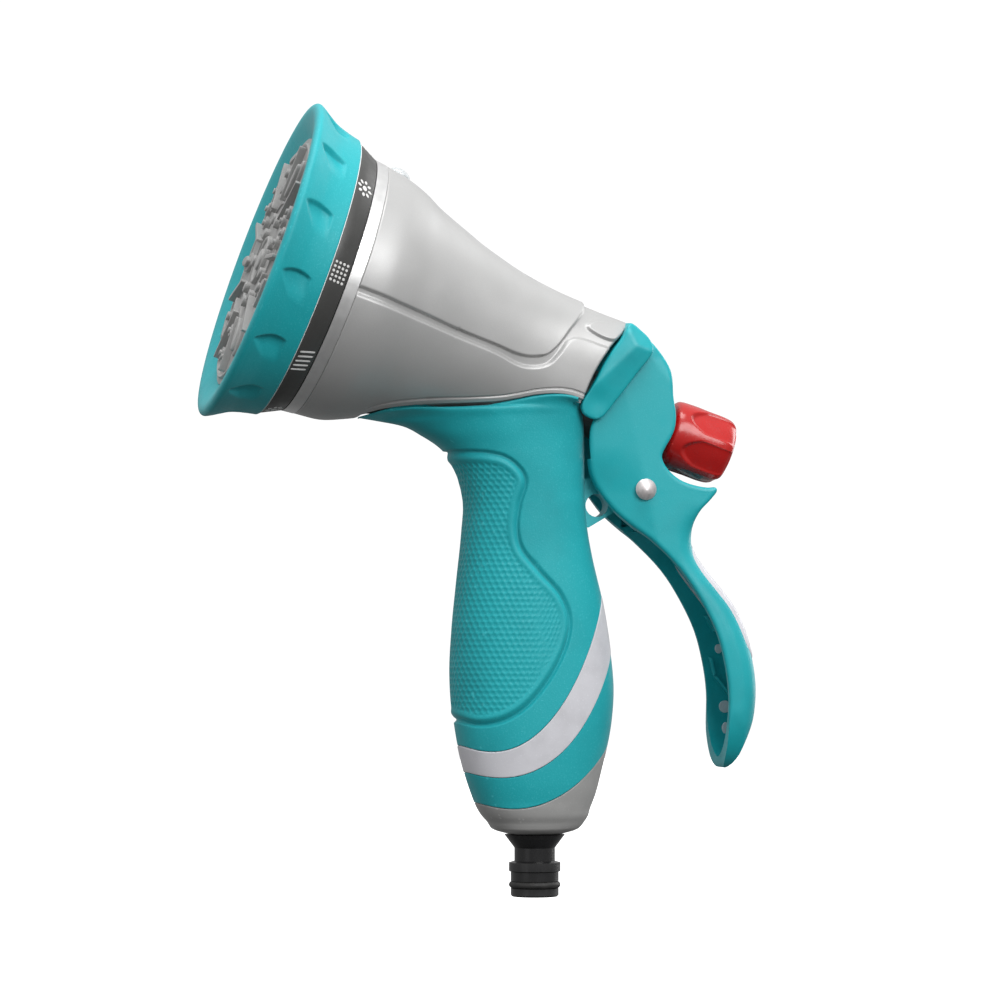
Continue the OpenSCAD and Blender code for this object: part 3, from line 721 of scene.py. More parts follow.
class HandleSurface:
    """The handle's outer skin: columns go round it, v climbs it (equal to z up to the shoulder)."""

    def __init__(self, columns):
        self.a = 2 * math.pi * np.arange(columns) / columns
        levels = np.concatenate([[20.5, 20.9, 21.3, 22.2, 23.3, 24.5, 26.5], np.arange(29, 144.5, 2.5)])
        levels[-1] = HANDLE_SHOULDER
        rings = [handle_ring(self.a, np.full(columns, z)) for z in levels]
        rings += [saddle_ring(self.a, *row) for row in SADDLE]
        rings.append(seam_ring(self.a))
        self.v = np.concatenate([levels, [147.4, 150.4, 152.8, 154.6, GRIP_TOP]])
        self.rings = np.array(rings)
        self.slopes = np.gradient(self.rings, self.v, axis=0)

    def at(self, v):
        """Points for v of shape (rows, columns)."""
        v = np.clip(v, self.v[0], self.v[-1])
        i = np.clip(np.searchsorted(self.v, v) - 1, 0, len(self.v) - 2)
        j = np.broadcast_to(np.arange(v.shape[1]), v.shape)
        h = self.v[i + 1] - self.v[i]
        u, h = ((v - self.v[i]) / h)[..., None], h[..., None]
        slopes = self.slopes
        return blend(self.rings[i, j], self.rings[i + 1, j], slopes[i, j], slopes[i + 1, j], h, u)

    def edge(self, curve):
        """v of each column where the skin meets a joint given as a height over x."""
        v = np.full((1, len(self.a)), 60.0)
        for _ in range(14):
            v = curve(self.at(v)[..., 0])
        return v


def cap_top(x):
    """Height of the joint between the end cap and the lower grip, over x."""
    return 29.3 + 0.0175 * (x + 10.4) ** 2


def stripe_low(x):
    """Height of the pale band's lower edge."""
    return 39.5 + 0.0185 * (x + 14.7) ** 2 + 5e-6 * (x + 14.7) ** 4


def stripe_high(x):
    """Height of the pale band's upper edge."""
    return 48.0 + 0.027 * (x + 17.5) ** 2 + 4e-6 * (x + 17.5) ** 4


# Outline of the textured pad, closed round the front of the handle
PAD_SIDE = smooth_path([
    (-29, 144.6), (-19, 144.2), (-12.5, 142.2), (-7.8, 136.8), (-9.6, 129), (-10.5, 121),
    (-9, 114), (-2.6, 106), (4.3, 98.5), (7.2, 91), (6.1, 83.8), (0.6, 73), (-7.1, 63.8),
    (-14.5, 59.2), (-22.4, 58), (-29, 60.5),
], 6)
PAD = np.vstack([PAD_SIDE, [(-60, 60.5), (-60, 144.6)]])
GROOVE_WIDTH = 2.1
GROOVE_DEPTH = 1.0
PAD_RAISE = 0.45
HEX_PITCH = 2.15
HEX_RELIEF = 0.22
HEX_MARGIN = 2.4


def hexagon_cells(u, v, pitch):
    """Distance from the nearest edge of a honeycomb of the given pitch."""
    rise = pitch * math.sqrt(3)

    def cell(du, dv):
        x = (u - du + pitch / 2) % pitch - pitch / 2
        y = (v - dv + rise / 2) % rise - rise / 2
        return np.maximum(np.abs(x), np.abs(x) / 2 + np.abs(y) * math.sqrt(3) / 2)

    return pitch / 2 - np.minimum(cell(0, 0), cell(pitch / 2, rise / 2))


def round_the_front(grid):
    """Arc length of each point from the front of its ring."""
    steps = np.linalg.norm(np.diff(grid, axis=1, append=grid[:, :1]), axis=-1)
    place = np.concatenate([np.zeros((len(grid), 1)), np.cumsum(steps, axis=1)[:, :-1]], axis=1)
    front = grid.shape[1] // 2
    return place - place[:, front:front + 1]


def pad_relief(grid):
    """Height of the textured pad: a groove round it, a raised rim and sunk hexagons."""
    flat = grid[..., [0, 2]]
    d = depth_inside(flat, PAD)
    groove = ease(d, -GROOVE_WIDTH, -GROOVE_WIDTH + 0.7) * ease(-d, 0, 1.1)
    raised = PAD_RAISE * ease(d, -0.2, 0.8) - 0.2 * ease(d, 1.0, HEX_MARGIN)
    cells = hexagon_cells(round_the_front(grid), grid[..., 2], HEX_PITCH)
    cells = -HEX_RELIEF * ease(cells, 0.12, 0.6) * ease(d, HEX_MARGIN - 0.7, HEX_MARGIN)
    return raised + cells - GROOVE_DEPTH * groove


def even_rows(low, high, count, edge=0.8, crowd=7):
    """v for each row, crowded at both ends so that the rounded edges are smooth."""
    ends = edge * np.linspace(0, 1, crowd, endpoint=False) ** 1.5
    middle = np.linspace(0, 1, count)[:, None]
    rows = [low + e for e in ends]
    rows += [low + edge + (high - low - 2 * edge) * m for m in middle]
    rows += [high - e for e in ends[::-1]]
    return np.vstack(rows)


def skin_normals(grid):
    """Outward normals of the handle's skin."""
    normals = grid_normals(grid, wrap=True)
    facing = (normals * (grid - np.mean(grid, axis=1, keepdims=True))).sum(-1)
    return normals * np.sign(facing.mean())


def handle_band(name, skin, low, high, rows, relief=None, out=0.0, edge_radius=0.35, wall=2.2):
    """One ring of the handle's skin as a solid with softly rounded ends."""
    v = even_rows(low, high, rows)
    grid = skin.at(v)
    normals = skin_normals(grid)
    height = np.full(v.shape, out)
    if relief:
        height = height + relief(grid)
    ends = np.minimum(v - v[:1], v[-1:] - v)
    height = height - rounded_drop(ends, edge_radius)
    wall = wall * (TIP_WALL + (1 - TIP_WALL) * ease(grid[..., 0:1], *TIP_SPAN))
    band = closed_band(name, grid + normals * height[..., None], grid - normals * wall)
    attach(band, "gun_body")
    return band


skin = HandleSurface(420)
foot, low, high = (skin.edge(curve) for curve in (cap_top, stripe_low, stripe_high))
top = np.full_like(foot, GRIP_TOP)
grip = handle_band("grip_upper", skin, high + JOINT_GAP, top, 300, pad_relief, wall=2.0)
dress(grip, "teal_soft")
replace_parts(grip, "grip_sleeve_upper", "grip_pad_left", "grip_pad_right")
stripe = handle_band("grip_band", skin, low + JOINT_GAP, high - JOINT_GAP, 40, out=0.12)
dress(stripe, "pale_stripe")
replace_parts(stripe, "grip_stripe")
lower = handle_band("grip_lower", skin, foot + JOINT_GAP, low - JOINT_GAP, 40)
dress(lower, "teal_soft")
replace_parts(lower, "grip_sleeve_lower")


CAP_HOLE = 7.2
CAP_FLOOR = 23.1


def end_cap():
    """Grey foot: its skin turns under the handle and meets the plug."""
    v = even_rows(np.full_like(foot, HANDLE_FOOT), foot - JOINT_GAP, 40, edge=0.5)
    grid = skin.at(v)
    normals = skin_normals(grid)
    height = -rounded_drop(v[-1:] - v, 0.35)
    outer = grid + normals * height[..., None]
    inner = grid - normals * 2.2

    def ring(radius, z):
        circle = np.stack([np.cos(skin.a), np.sin(skin.a)], axis=-1)
        return np.column_stack([circle * radius, np.full(len(skin.a), z)])

    under = [ring(CAP_HOLE, 20.7), ring(CAP_HOLE + 0.4, 20.45)]
    over = [ring(CAP_HOLE, CAP_FLOOR), ring(8.5, CAP_FLOOR)]
    first = len(v) // 8
    inner[:first] = inner[first:first + 1]
    cap = closed_band("end_cap", np.concatenate([under, outer]), np.concatenate([over, inner]))
    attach(cap, "gun_body")
    dress(cap, "grey_plastic")
    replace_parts(cap, "handle_end_cap")


end_cap()

# ---------------------------------------------------------------- extruded pieces


def outline_normals(outline):
    """Outward unit normals of a closed 2-D outline, and the outline turned counter-clockwise."""
    area = np.sum(outline[:, 0] * np.roll(outline[:, 1], -1) - outline[:, 1] * np.roll(outline[:, 0], -1))
    if area < 0:
        outline = outline[::-1]
    along = np.roll(outline, -1, axis=0) - np.roll(outline, 1, axis=0)
    normal = np.column_stack([along[:, 1], -along[:, 0]])
    return outline, normal / np.maximum(np.linalg.norm(normal, axis=1, keepdims=True), 1e-9)


def prism_rings(outline, bottom, top, edge, steps=4):
    """Rings (u, v, height) of an upright solid whose top edge is rounded."""
    outline, normal = outline_normals(np.array(outline, float))
    rings = [np.column_stack([outline, np.full(len(outline), bottom)])]
    for k in range(steps + 1):
        turn = math.pi / 2 * k / steps
        inset = edge * (1 - math.cos(turn))
        height = top - edge * (1 - math.sin(turn))
        rings.append(np.column_stack([outline - normal * inset, np.full(len(outline), height)]))
    return rings


def prism(name, outline, bottom, top, edge, place):
    """A solid with a flat top and rounded top edge; place maps (u, v, height) to a point."""
    rings = prism_rings(outline, bottom, top, edge)
    return mesh_object(name, place(np.concatenate(rings)), capped_faces(len(rings), len(rings[0])))


def ellipse(u, v, half_u, half_v, turn=0.0, count=24, square=1.0):
    """An outline round (u, v), turned by an angle; a square below 1 fills its corners."""
    a = 2 * math.pi * np.arange(count) / count
    x, y = half_u * power(np.cos(a), square), half_v * power(np.sin(a), square)
    return np.column_stack([
        u + x * math.cos(turn) - y * math.sin(turn),
        v + x * math.sin(turn) + y * math.cos(turn),
    ])


def capsule(u, v, half_u, half_v, turn=0.0, count=32):
    """A slot or bar with rounded ends, or a rounded rectangle when nearly square."""
    return ellipse(u, v, half_u, half_v, turn, count, square=0.35)


def join(name, pieces):
    """Joins pieces made the same way into one object."""
    work = bmesh.new()
    for piece in pieces:
        work.from_mesh(piece.data)
        bpy.data.objects.remove(piece, do_unlink=True)
    mesh = bpy.data.meshes.new(name)
    work.to_mesh(mesh)
    work.free()
    mesh.polygons.foreach_set("use_smooth", [True] * len(mesh.polygons))
    mesh.set_sharp_from_angle(angle=math.radians(50))
    whole = bpy.data.objects.new(name, mesh)
    bpy.context.scene.collection.objects.link(whole)
    return whole


def revolve(name, profile, turns, relief=None, smooth_angle=None):
    """A ring made by turning a closed profile of (radius, s) about the head axis."""
    turn = 2 * math.pi * np.arange(turns) / turns
    radius, s = profile[:, 0:1], profile[:, 1:2]
    if relief is not None:
        radius = radius + relief(turn[None, :], s + 0 * turn, radius + 0 * turn)
    grid = head_point(s, radius * np.cos(turn), radius * np.sin(turn))
    faces = loop_faces(len(profile), turns)
    return mesh_object(name, grid.reshape(-1, 3), faces, smooth_angle=smooth_angle)


# ---------------------------------------------------------------- rotating head

BEZEL_OUTER = smooth_path([
    (47.9, -0.35), (48.7, -4), (50.1, -8.5), (51.8, -11.6), (53.5, -14.4), (54.25, -16.1),
    (54.05, -16.9), (53.2, -17.6), (51.7, -17.85), (49.9, -17.5), (46.8, -16.3), (44.2, -15.1),
    (42.9, -14.5),
], 9)
BEZEL_BACK = [(42.9, -12.2), (42.9, -0.5), (43.2, -0.1), (47.4, -0.1), (47.7, -0.18)]
SCOOPS = 14
FIRST_SCOOP = math.radians(50)
SCOOP_S = -10.8
SCOOP_HALF_LENGTH = 6.0
SCOOP_DEPTH = 1.7
SCOOP_FADE = 10.0


def scoop_relief(turn, s, radius):
    """Thumb scoops: each has a sharp curved upper edge and fades out round the ring."""
    pitch = 2 * math.pi / SCOOPS
    # turn is measured from the top; a negative one is on the near side
    local = (-turn - FIRST_SCOOP + pitch / 2) % pitch - pitch * 0.32
    across = local * radius
    front = SCOOP_S - SCOOP_HALF_LENGTH + 0.72 * np.clip(across, 0, None)
    along = np.clip(2 * (s - front) / (SCOOP_S + SCOOP_HALF_LENGTH - front + 1e-6) - 1, -1, 1)
    level = np.clip((s - SCOOP_S) / SCOOP_HALF_LENGTH, -1, 1)
    edge = 2.0 * level**2 - 0.9 * level
    run = across - edge
    bowl = ease(run, -0.1, 0.75) * (1 - ease(run, 0.8, SCOOP_FADE))
    width = np.clip(1 - np.clip(along, 0, 1) ** 2, 0, 1) ** 0.5 * ease(along, -1.0, -0.55)
    outside = ease(s, -16.2, -14.5) * ease(radius, 47.8, 48.4)
    return -SCOOP_DEPTH * bowl * width * outside


bezel = revolve("bezel", np.vstack([BEZEL_OUTER, BEZEL_BACK]), 840, scoop_relief)
dress(bezel, "teal_soft")
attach(bezel, "dial")
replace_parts(bezel, "bezel_grip")


def dial_band():
    """Dark ring behind the bezel, with eased edges."""
    profile = np.array([
        (47.0, 0.0), (47.17, 0.05), (47.2, 0.2), (45.5, 3.6), (44.0, 6.6), (43.9, 6.75), (43.7, 6.8),
        (42.8, 6.8), (42.8, 0.05),
    ])
    band = revolve("dial_band", profile, 360, smooth_angle=40)
    dress(band, "dark_plastic")
    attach(band, "dial")
    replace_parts(band, "dial_ring")
    seam = revolve("dial_seam", np.array([(47.1, -0.09), (47.5, -0.09), (47.5, 0.12), (47.1, 0.12)]), 240)
    dress(seam, "white_print")
    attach(seam, "dial")


def on_dial(points, around):
    """Places (across, along, lift) on the sloping ring at angle around from the top."""
    slope = math.atan(0.5)
    radius = 47.3 - 0.5 * points[:, 1] + points[:, 2] * math.cos(slope)
    turn = -(around + points[:, 0] / radius)
    s = points[:, 1] + points[:, 2] * math.sin(slope)
    return head_point(s, radius * np.cos(turn), radius * np.sin(turn))


def sign_outlines(kind):
    """Outlines of one pictogram in (across, along) round the middle of the ring."""
    middle = 3.4
    if kind == 0:
        return [
            ellipse(1.5 * u, middle + 1.4 * v, 0.45, 0.45, count=14)
            for u in (-2, -1, 0, 1, 2) for v in (-1.5, -0.5, 0.5, 1.5)
        ]
    if kind == 1:
        return [
            capsule(1.85 * v, middle - 0.1 * v, 0.33, 2.4, count=24) for v in (-2, -1, 0, 1, 2)
        ]
    petals = [
        ellipse(2.7 * math.cos(k * math.pi / 4), middle + 2.1 * math.sin(k * math.pi / 4),
                0.72, 0.5, k * math.pi / 4, 14)
        for k in range(8)
    ]
    return petals + [ellipse(0, middle, 1.0, 0.8, count=18)]


PATTERNS = 9
FIRST_SIGN = math.radians(212)


def print_signs():
    """White pictograms printed on the dial, three kinds in turn."""
    marks = []
    for i in range(PATTERNS):
        around = FIRST_SIGN + i * 2 * math.pi / PATTERNS
        for outline in sign_outlines(i % 3):
            marks.append(prism("mark", outline, 0.01, 0.10, 0.04, lambda p: on_dial(p, around)))
    signs = join("dial_signs", marks)
    dress(signs, "white_print")
    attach(signs, "dial")
    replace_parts(signs, "dial_icons")


dial_band()
print_signs()

FACE_FRONT = -15.3
FACE_RADIUS = 42.75


def on_face(points):
    """Places (u, v, lift) on the spray face; u runs to +Y, v up and lift out of the face."""
    return head_point(FACE_FRONT - points[:, 2], points[:, 1], points[:, 0])


def polar(radius, turn):
    """A point (u, v) on the face, at an angle from its top."""
    return radius * math.sin(turn), radius * math.cos(turn)


def face_plate():
    """Plate with a raised rim, a dished hub and a stepped ring."""
    lift = FACE_FRONT + 13.6
    profile = np.array([
        (0.01, -15.4), (3.2, -15.4), (3.6, -15.2), (3.8, -14.6), (6.6, -14.5), (7, -15.0), (7.8, -15.1),
        (8.2, -14.8), (8.4, -13.6), (19.6, -13.6), (19.8, -14.1), (20.6, -14.1), (20.8, -13.6),
        (39.4, -13.6), (39.7, -14.0), (40.5, -14.1), (40.8, -13.8), (41.0, -13.3), (42.7, -13.2),
        (FACE_RADIUS, -12.9), (FACE_RADIUS, -12.1 - lift), (0.01, -12.1 - lift),
    ]) + (0, lift)
    return revolve("plate", profile, 180, smooth_angle=30)


def face_details():
    """Ribs, jet bosses and nozzle shapes, a different set in each sector."""
    details = []

    def boss(outline, lift, edge=0.18):
        details.append(prism("boss", outline, -0.3, lift, edge, on_face))

    for i in range(PATTERNS):
        turn = (i + 0.5) * 2 * math.pi / PATTERNS + 0.1
        u, v = polar(30, turn)
        boss(capsule(u, v, 9.4, 0.75, math.pi / 2 - turn), 2.4)
        middle = turn + math.pi / PATTERNS
        if i % 3 == 0:
            for radius in (26, 34):
                for shift in (-0.13, 0.13):
                    u, v = polar(radius, middle + shift * 30 / radius)
                    boss(ellipse(u, v, 2.2, 2.2), 1.5)
                    boss(ellipse(u, v, 1.0, 1.0, count=16), 2.2, 0.15)
        elif i % 3 == 1:
            u, v = polar(30.5, middle)
            boss(ellipse(u, v, 8.0, 3.4, math.pi / 2 - middle, 40), 1.2, 0.5)
            boss(ellipse(u, v, 6.4, 1.9, math.pi / 2 - middle, 40), 2.4, 0.6)
        else:
            for radius in (25, 36):
                u, v = polar(radius, middle)
                boss(capsule(u, v, 1.0, radius * 0.14, math.pi / 2 - middle), 1.8)
            u, v = polar(30.5, middle)
            boss(ellipse(u, v, 3.0, 3.0), 1.4, 0.4)
            boss(ellipse(u, v, 1.5, 1.5), 2.5, 0.3)
        u, v = polar(14.5, middle)
        boss(ellipse(u, v, 1.9, 1.9, count=24), 1.8, 0.3)
    return details


face = join("face_plate", [face_plate(), *face_details()])
dress(face, "grey_plastic")
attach(face, "dial")
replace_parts(face, "spray_face")

# ---------------------------------------------------------------- slabs with shaped sides


def dense_outline(points, spacing):
    """Points about spacing apart along a closed outline."""
    points = np.vstack([points, points[:1]])
    lengths = np.linalg.norm(np.diff(points, axis=0), axis=1)
    place = np.concatenate([[0], np.cumsum(lengths)])
    count = int(place[-1] / spacing)
    at = np.linspace(0, place[-1], count, endpoint=False)
    return np.column_stack([np.interp(at, place, points[:, k]) for k in (0, 1)])


def filled_outline(outline, spacing, insets):
    """Triangles that fill a closed outline, in rings near its edge and a lattice inside."""
    outline, normal = outline_normals(outline)
    sets = [outline]
    for inset in insets:
        ring = outline - normal * inset
        sets.append(ring[distance(ring, outline, closed=True) > inset * 0.93])
    deep = max(insets)
    low, high = outline.min(axis=0), outline.max(axis=0)
    rise = spacing * math.sqrt(3) / 2
    lattice = []
    for k, z in enumerate(np.arange(low[1] + rise / 2, high[1], rise)):
        x = np.arange(low[0] + (spacing / 2 if k % 2 else 0), high[0], spacing)
        lattice.append(np.column_stack([x, np.full(len(x), z)]))
    lattice = np.vstack(lattice)
    lattice = lattice[depth_inside(lattice, outline) > deep + spacing * 0.4]
    points = np.vstack([*sets, lattice])
    rim = [(i, (i + 1) % len(outline)) for i in range(len(outline))]
    out = delaunay_2d_cdt([Vector(p) for p in points], rim, [], 1, 1e-4)
    return np.array([tuple(v) for v in out[0]]), out[2]


def slab(name, outline, height, low_height=None, spacing=1.3, insets=(0.08, 0.25, 0.55, 1.0, 1.6)):
    """A solid over an outline in x and z; height(points) gives its outer y on each side."""
    dense = dense_outline(outline, 0.7)
    points, triangles = filled_outline(dense, spacing, insets)
    upper = height(points)
    lower = -upper if low_height is None else low_height(points)
    count = len(points)
    sides = [np.column_stack([points[:, 0], y, points[:, 1]]) for y in (upper, lower)]
    edge = len(dense)
    faces = [list(t) for t in triangles] + [[v + count for v in t[::-1]] for t in triangles]
    faces += [[i, (i + 1) % edge, (i + 1) % edge + count, i + count] for i in range(edge)]
    return mesh_object(name, np.vstack(sides), faces, smooth_angle=38)


def cut(piece, *tools):
    """Subtracts closed meshes from a piece and removes them."""
    for tool in tools:
        step = piece.modifiers.new("cut", "BOOLEAN")
        step.operation = "DIFFERENCE"
        step.solver = "EXACT"
        step.object = tool
    bpy.context.view_layer.update()
    shaped = piece.evaluated_get(bpy.context.evaluated_depsgraph_get())
    mesh = bpy.data.meshes.new_from_object(shaped)
    piece.modifiers.clear()
    piece.data = mesh
    for tool in tools:
        bpy.data.objects.remove(tool, do_unlink=True)


def flat_block(name, outline, half):
    """A plain prism across the gun, used to cut hollows."""
    outline = dense_outline(np.array(outline, float), 1.2)
    count = len(outline)
    points = np.vstack([
        np.column_stack([outline[:, 0], np.full(count, y), outline[:, 1]]) for y in (-half, half)
    ])
    faces = [[i, (i + 1) % count, (i + 1) % count + count, i + count] for i in range(count)]
    faces += [list(range(count))[::-1], [count + i for i in range(count)]]
    return mesh_object(name, points, faces, smooth=False)


# ---------------------------------------------------------------- rear collar

COLLAR_OUTLINE = smooth_path([
    (28.8, 188.6), (25.9, 183.9), (22.4, 179.3), (19.7, 175.4), (17, 170.2), (14.6, 166), (12.7, 163),
    (12.2, 160.6), (13.3, 158.4), (16.4, 156.9), (19.2, 157.4), (21.3, 159.5), (24.2, 163.3),
    (27.9, 168), (31.5, 172.8), (35.1, 177.2), (36.1, 179.2), (36.1, 181.9), (34.8, 184.2), (32, 186.6),
], 4, closed=True)
COLLAR_PEAK = np.array((30.4, 181.1))
COLLAR_OUT = 18.3
COLLAR_IN = 14.0
ROOF_HALF = 15.2
ROOF_CROWN = 0.9


def collar_facets():
    """Slopes of the three facets that meet at the collar's peak."""
    front_ridge = np.array((17.2, 168.7)) - COLLAR_PEAK
    top_ridge = np.array((28.9, 184.4)) - COLLAR_PEAK
    rear_ridge = np.array((35.8, 179.3)) - COLLAR_PEAK
    down = front_ridge / np.linalg.norm(front_ridge)
    side = np.array((-down[1], down[0]))
    if side @ (1, 0) < 0:
        side = -side
    front = 0.05 * down - 0.24 * side
    rear = 0.05 * down + 0.20 * side
    top = np.linalg.solve(
        np.array([top_ridge, rear_ridge]), np.array([front @ top_ridge, rear @ rear_ridge])
    )
    return front, rear, top


def collar_height(points):
    """Outer y of the collar's cheeks: three facets, a shallow thumb dip and rounded edges."""
    rel = points - COLLAR_PEAK
    fall = np.max([rel @ slope for slope in collar_facets()], axis=0)
    dip = 0.7 * np.exp(-(np.linalg.norm(points - (17.5, 163), axis=1) / 4.0) ** 2)
    edge = rounded_drop(depth_inside(points, COLLAR_OUTLINE), 0.7)
    return COLLAR_OUT - fall - dip - edge


def collar_side(side):
    """One faceted cheek of the collar; side is 1 or -1."""
    return slab(
        "collar_side", COLLAR_OUTLINE, lambda p: side * collar_height(p),
        lambda p: np.full(len(p), side * COLLAR_IN), spacing=1.0, insets=(0.07, 0.2, 0.4, 0.7),
    )


def collar_roof():
    """Arched bridge that joins the two sides over the back of the casing."""
    path = smooth_path([
        (28.9, 188.9), (30.6, 187.9), (32.4, 186.4), (34.6, 184.4), (36.0, 182.2), (36.3, 179.8),
    ], 5)
    along = np.gradient(path, axis=0)
    normal = np.column_stack([-along[:, 1], along[:, 0]])
    normal /= np.linalg.norm(normal, axis=1, keepdims=True)
    normal *= np.where(normal[:, 1:2] < 0, -1, 1)
    y = np.linspace(-ROOF_HALF, ROOF_HALF, 41)
    crown = ROOF_CROWN * (1 - (y / ROOF_HALF) ** 2)
    ends = rounded_drop(np.minimum(np.arange(len(path)), np.arange(len(path))[::-1]) * 0.45, 0.8)

    def layer(depth):
        lift = crown[None, :] - ends[:, None] - depth
        point = path[:, None, :] + normal[:, None, :] * lift[..., None]
        return np.stack([point[..., 0], np.broadcast_to(y, point.shape[:2]), point[..., 1]], axis=-1)

    return closed_shell("collar_roof", layer(0.0), layer(2.0), smooth_angle=40)


collar = join("collar", [collar_side(1), collar_side(-1), collar_roof()])
dress(collar, "teal_plastic")
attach(collar, "gun_body")
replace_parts(collar, "rear_shroud")

# ---------------------------------------------------------------- trigger

LEVER_REAR = smooth_path([
    (37, 182.6), (39.7, 179.7), (42.1, 176.3), (43.5, 173.3), (44, 170.3), (44.2, 165), (45.1, 158.6),
    (44.7, 154.4), (43.3, 151), (41.3, 147.6), (40.3, 145.2), (40.9, 142.8), (43.3, 139.7),
    (46.7, 137.2), (51.1, 135.6), (56.0, 134.8), (58.6, 134.9), (59.2, 133.9), (57, 130.9), (53.5, 127.1),
    (51.5, 122.7), (51.2, 118), (52.3, 113.2), (55.8, 107.6), (60.4, 101.8), (64.7, 96.2), (68.2, 89.7),
    (70.5, 83.4), (72.3, 76.6), (73.2, 68), (72.3, 58.3), (70.2, 52), (67.5, 46.4), (65.6, 43.3),
    (64.3, 41.9),
], 4)
LEVER_FRONT = smooth_path([
    (63.3, 42.1), (62.8, 43.6), (62.6, 47), (62.5, 56.7), (62.6, 66.9), (61.2, 77.1), (58.4, 87.3),
    (53.3, 97.5), (46.4, 107.7), (36.6, 117.4), (31.3, 121.3), (25.2, 126.4), (22.3, 129.8),
    (19.8, 133.2), (17.8, 136.6), (16.5, 140.5), (16.0, 146), (16, 153), (17, 156.4), (19, 160),
    (23.4, 166), (29.5, 172.8), (34.2, 177.4), (36.2, 180.4), (36.6, 181.8),
], 4)
LEVER_OUTLINE = np.vstack([LEVER_REAR, LEVER_FRONT])
LEVER_HALF = 13.5
LEVER_INNER = 11.4
ARM_WIDER = 1.7
ARM_WALL = 2.1
FRONT_HOLLOW = 7.4
CHANNEL_NECK = 7.6
ARM_START = np.argmin(np.linalg.norm(LEVER_REAR - (54, 128), axis=1))
ARM_BACK = LEVER_REAR[ARM_START:]
CREASE = smooth_path([
    (25.4, 172), (28.0, 163.3), (31.9, 147.2), (35.8, 131.1), (38.7, 116), (40, 108),
], 4)
CREASE_FRONT = np.vstack([CREASE, [(0, 100), (0, 180)]])
CREASE_SLOPE = 0.21
FACET_EDGE = [(37.3, 176.8), (43.4, 169.4), (60, 150), (60, 200), (30, 200)]
CROWN_SLOPE = 0.22
ARM_ROUND = 6.5


def arm_half(points):
    """Half width of the lever, a little wider down the arm."""
    return LEVER_HALF + ARM_WIDER * (1 - ease(points[:, 1], 78, 112))


def lever_height(points):
    """Outer y of the lever's sides: creased cheeks, rounded edges and a full rounded back."""
    inside_front = np.clip(depth_inside(points, CREASE_FRONT), 0, None)
    low = 1 - ease(points[:, 1], 132, 149)
    height = arm_half(points) - CREASE_SLOPE * inside_front * (0.42 + 0.58 * low)
    height = height - CROWN_SLOPE * np.clip(depth_inside(points, FACET_EDGE), 0, None)
    edge = distance(points, LEVER_OUTLINE, closed=True)
    height = height - rounded_drop(edge, 1.1)
    back = distance(points, ARM_BACK)
    share = 1 - ease(points[:, 1], 112, 130)
    height = height - rounded_drop(back, ARM_ROUND) * share
    tip = arm_half(points) * np.sqrt(1 - (np.clip(62 - points[:, 1], 0, 20.6) / 20.8) ** 2)
    return np.clip(height, 1.2, tip)


# Hollows cut from the lever, as outlines in x and z
UPPER_SPACE = [
    (31.5, 122), (38, 123), (43, 129.5), (43.2, 135.5), (50, 132.8), (58.2, 132.3),
    (70, 134), (70, 200), (10, 200), (10, 144), (31.5, 144),
]
FRONT_SPACE = [(10, 110), (31, 116), (38, 123), (40, 152), (10, 152)]
LOWER_SPACE = smooth_path([
    (20, 118), (42, 119.5), (47.6, 117.5), (49.3, 111.9), (53.4, 106.4), (58.2, 100.2), (62.5, 94.6),
    (66.1, 88.4), (68.5, 82.6), (70.2, 76), (71.1, 68), (70.4, 59.2), (68.6, 53.4), (66.8, 48.8),
    (65.2, 46.4), (61, 45.4), (40, 45),
], 3, closed=True)


def channel_half(points):
    """Half width of the arm's channel, which closes in a rounded end."""
    low = np.clip(62 - points[:, 1], 0, 16.4) / 16.6
    narrow = 1 - ease(points[:, 1], 112, 126)
    wide = CHANNEL_NECK + (arm_half(points) - ARM_WALL - CHANNEL_NECK) * narrow
    return np.maximum(wide * np.sqrt(np.clip(1 - low**2, 0, 1)) - 1.6 * low, 0.5)


def trigger_lever():
    """Lever with two cheeks and an arm that is hollow from the front."""
    insets = (0.08, 0.25, 0.55, 1.0, 1.6, 2.6, 3.8, 5.2, 6.6)
    lever = slab("lever", LEVER_OUTLINE, lever_height, insets=insets)
    cut(
        lever,
        flat_block("upper_hollow", UPPER_SPACE, LEVER_INNER),
        flat_block("front_hollow", FRONT_SPACE, FRONT_HOLLOW),
        slab("lower_hollow", LOWER_SPACE, channel_half, spacing=3),
    )
    lever.data.set_sharp_from_angle(angle=math.radians(38))
    dress(lever, "teal_plastic")
    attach(lever, "trigger")
    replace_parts(lever, "trigger_lever")


trigger_lever()


def lever_web():
    """Low ribs in the arm's channel and the noses that push the knob."""
    ribs = []
    for (x1, z1), (x2, z2) in (
        ((64.9, 72.4), (70.7, 65.2)), ((61.6, 92.8), (65.2, 87.0)), ((63.4, 78.6), (64.9, 72.4)),
    ):
        a, b = np.array((x1, z1)), np.array((x2, z2))
        side = (b - a) / np.linalg.norm(b - a)
        side = np.array((-side[1], side[0])) * 0.35
        for y in (-1, 1):
            rib = flat_block("rib", [a - side, b - side, b + side, a + side], 1.0)
            rib.data.transform(Matrix.Translation((0, y * (LEVER_INNER + 0.3) * MM, 0)))
            ribs.append(rib)
    nose_place = head_point(127.57, -6.0, 0.0)[[0, 2]]
    for side in (-1, 1):
        circle = ellipse(nose_place[0], nose_place[1], 2.5, 2.5, count=40)
        nose = flat_block("nose", circle, 2.4)
        nose.data.transform(Matrix.Translation((0, side * (LEVER_INNER - 2.3) * MM, 0)))
        ribs.append(nose)
    web = join("lever_web", ribs)
    dress(web, "teal_plastic")
    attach(web, "trigger")


lever_web()


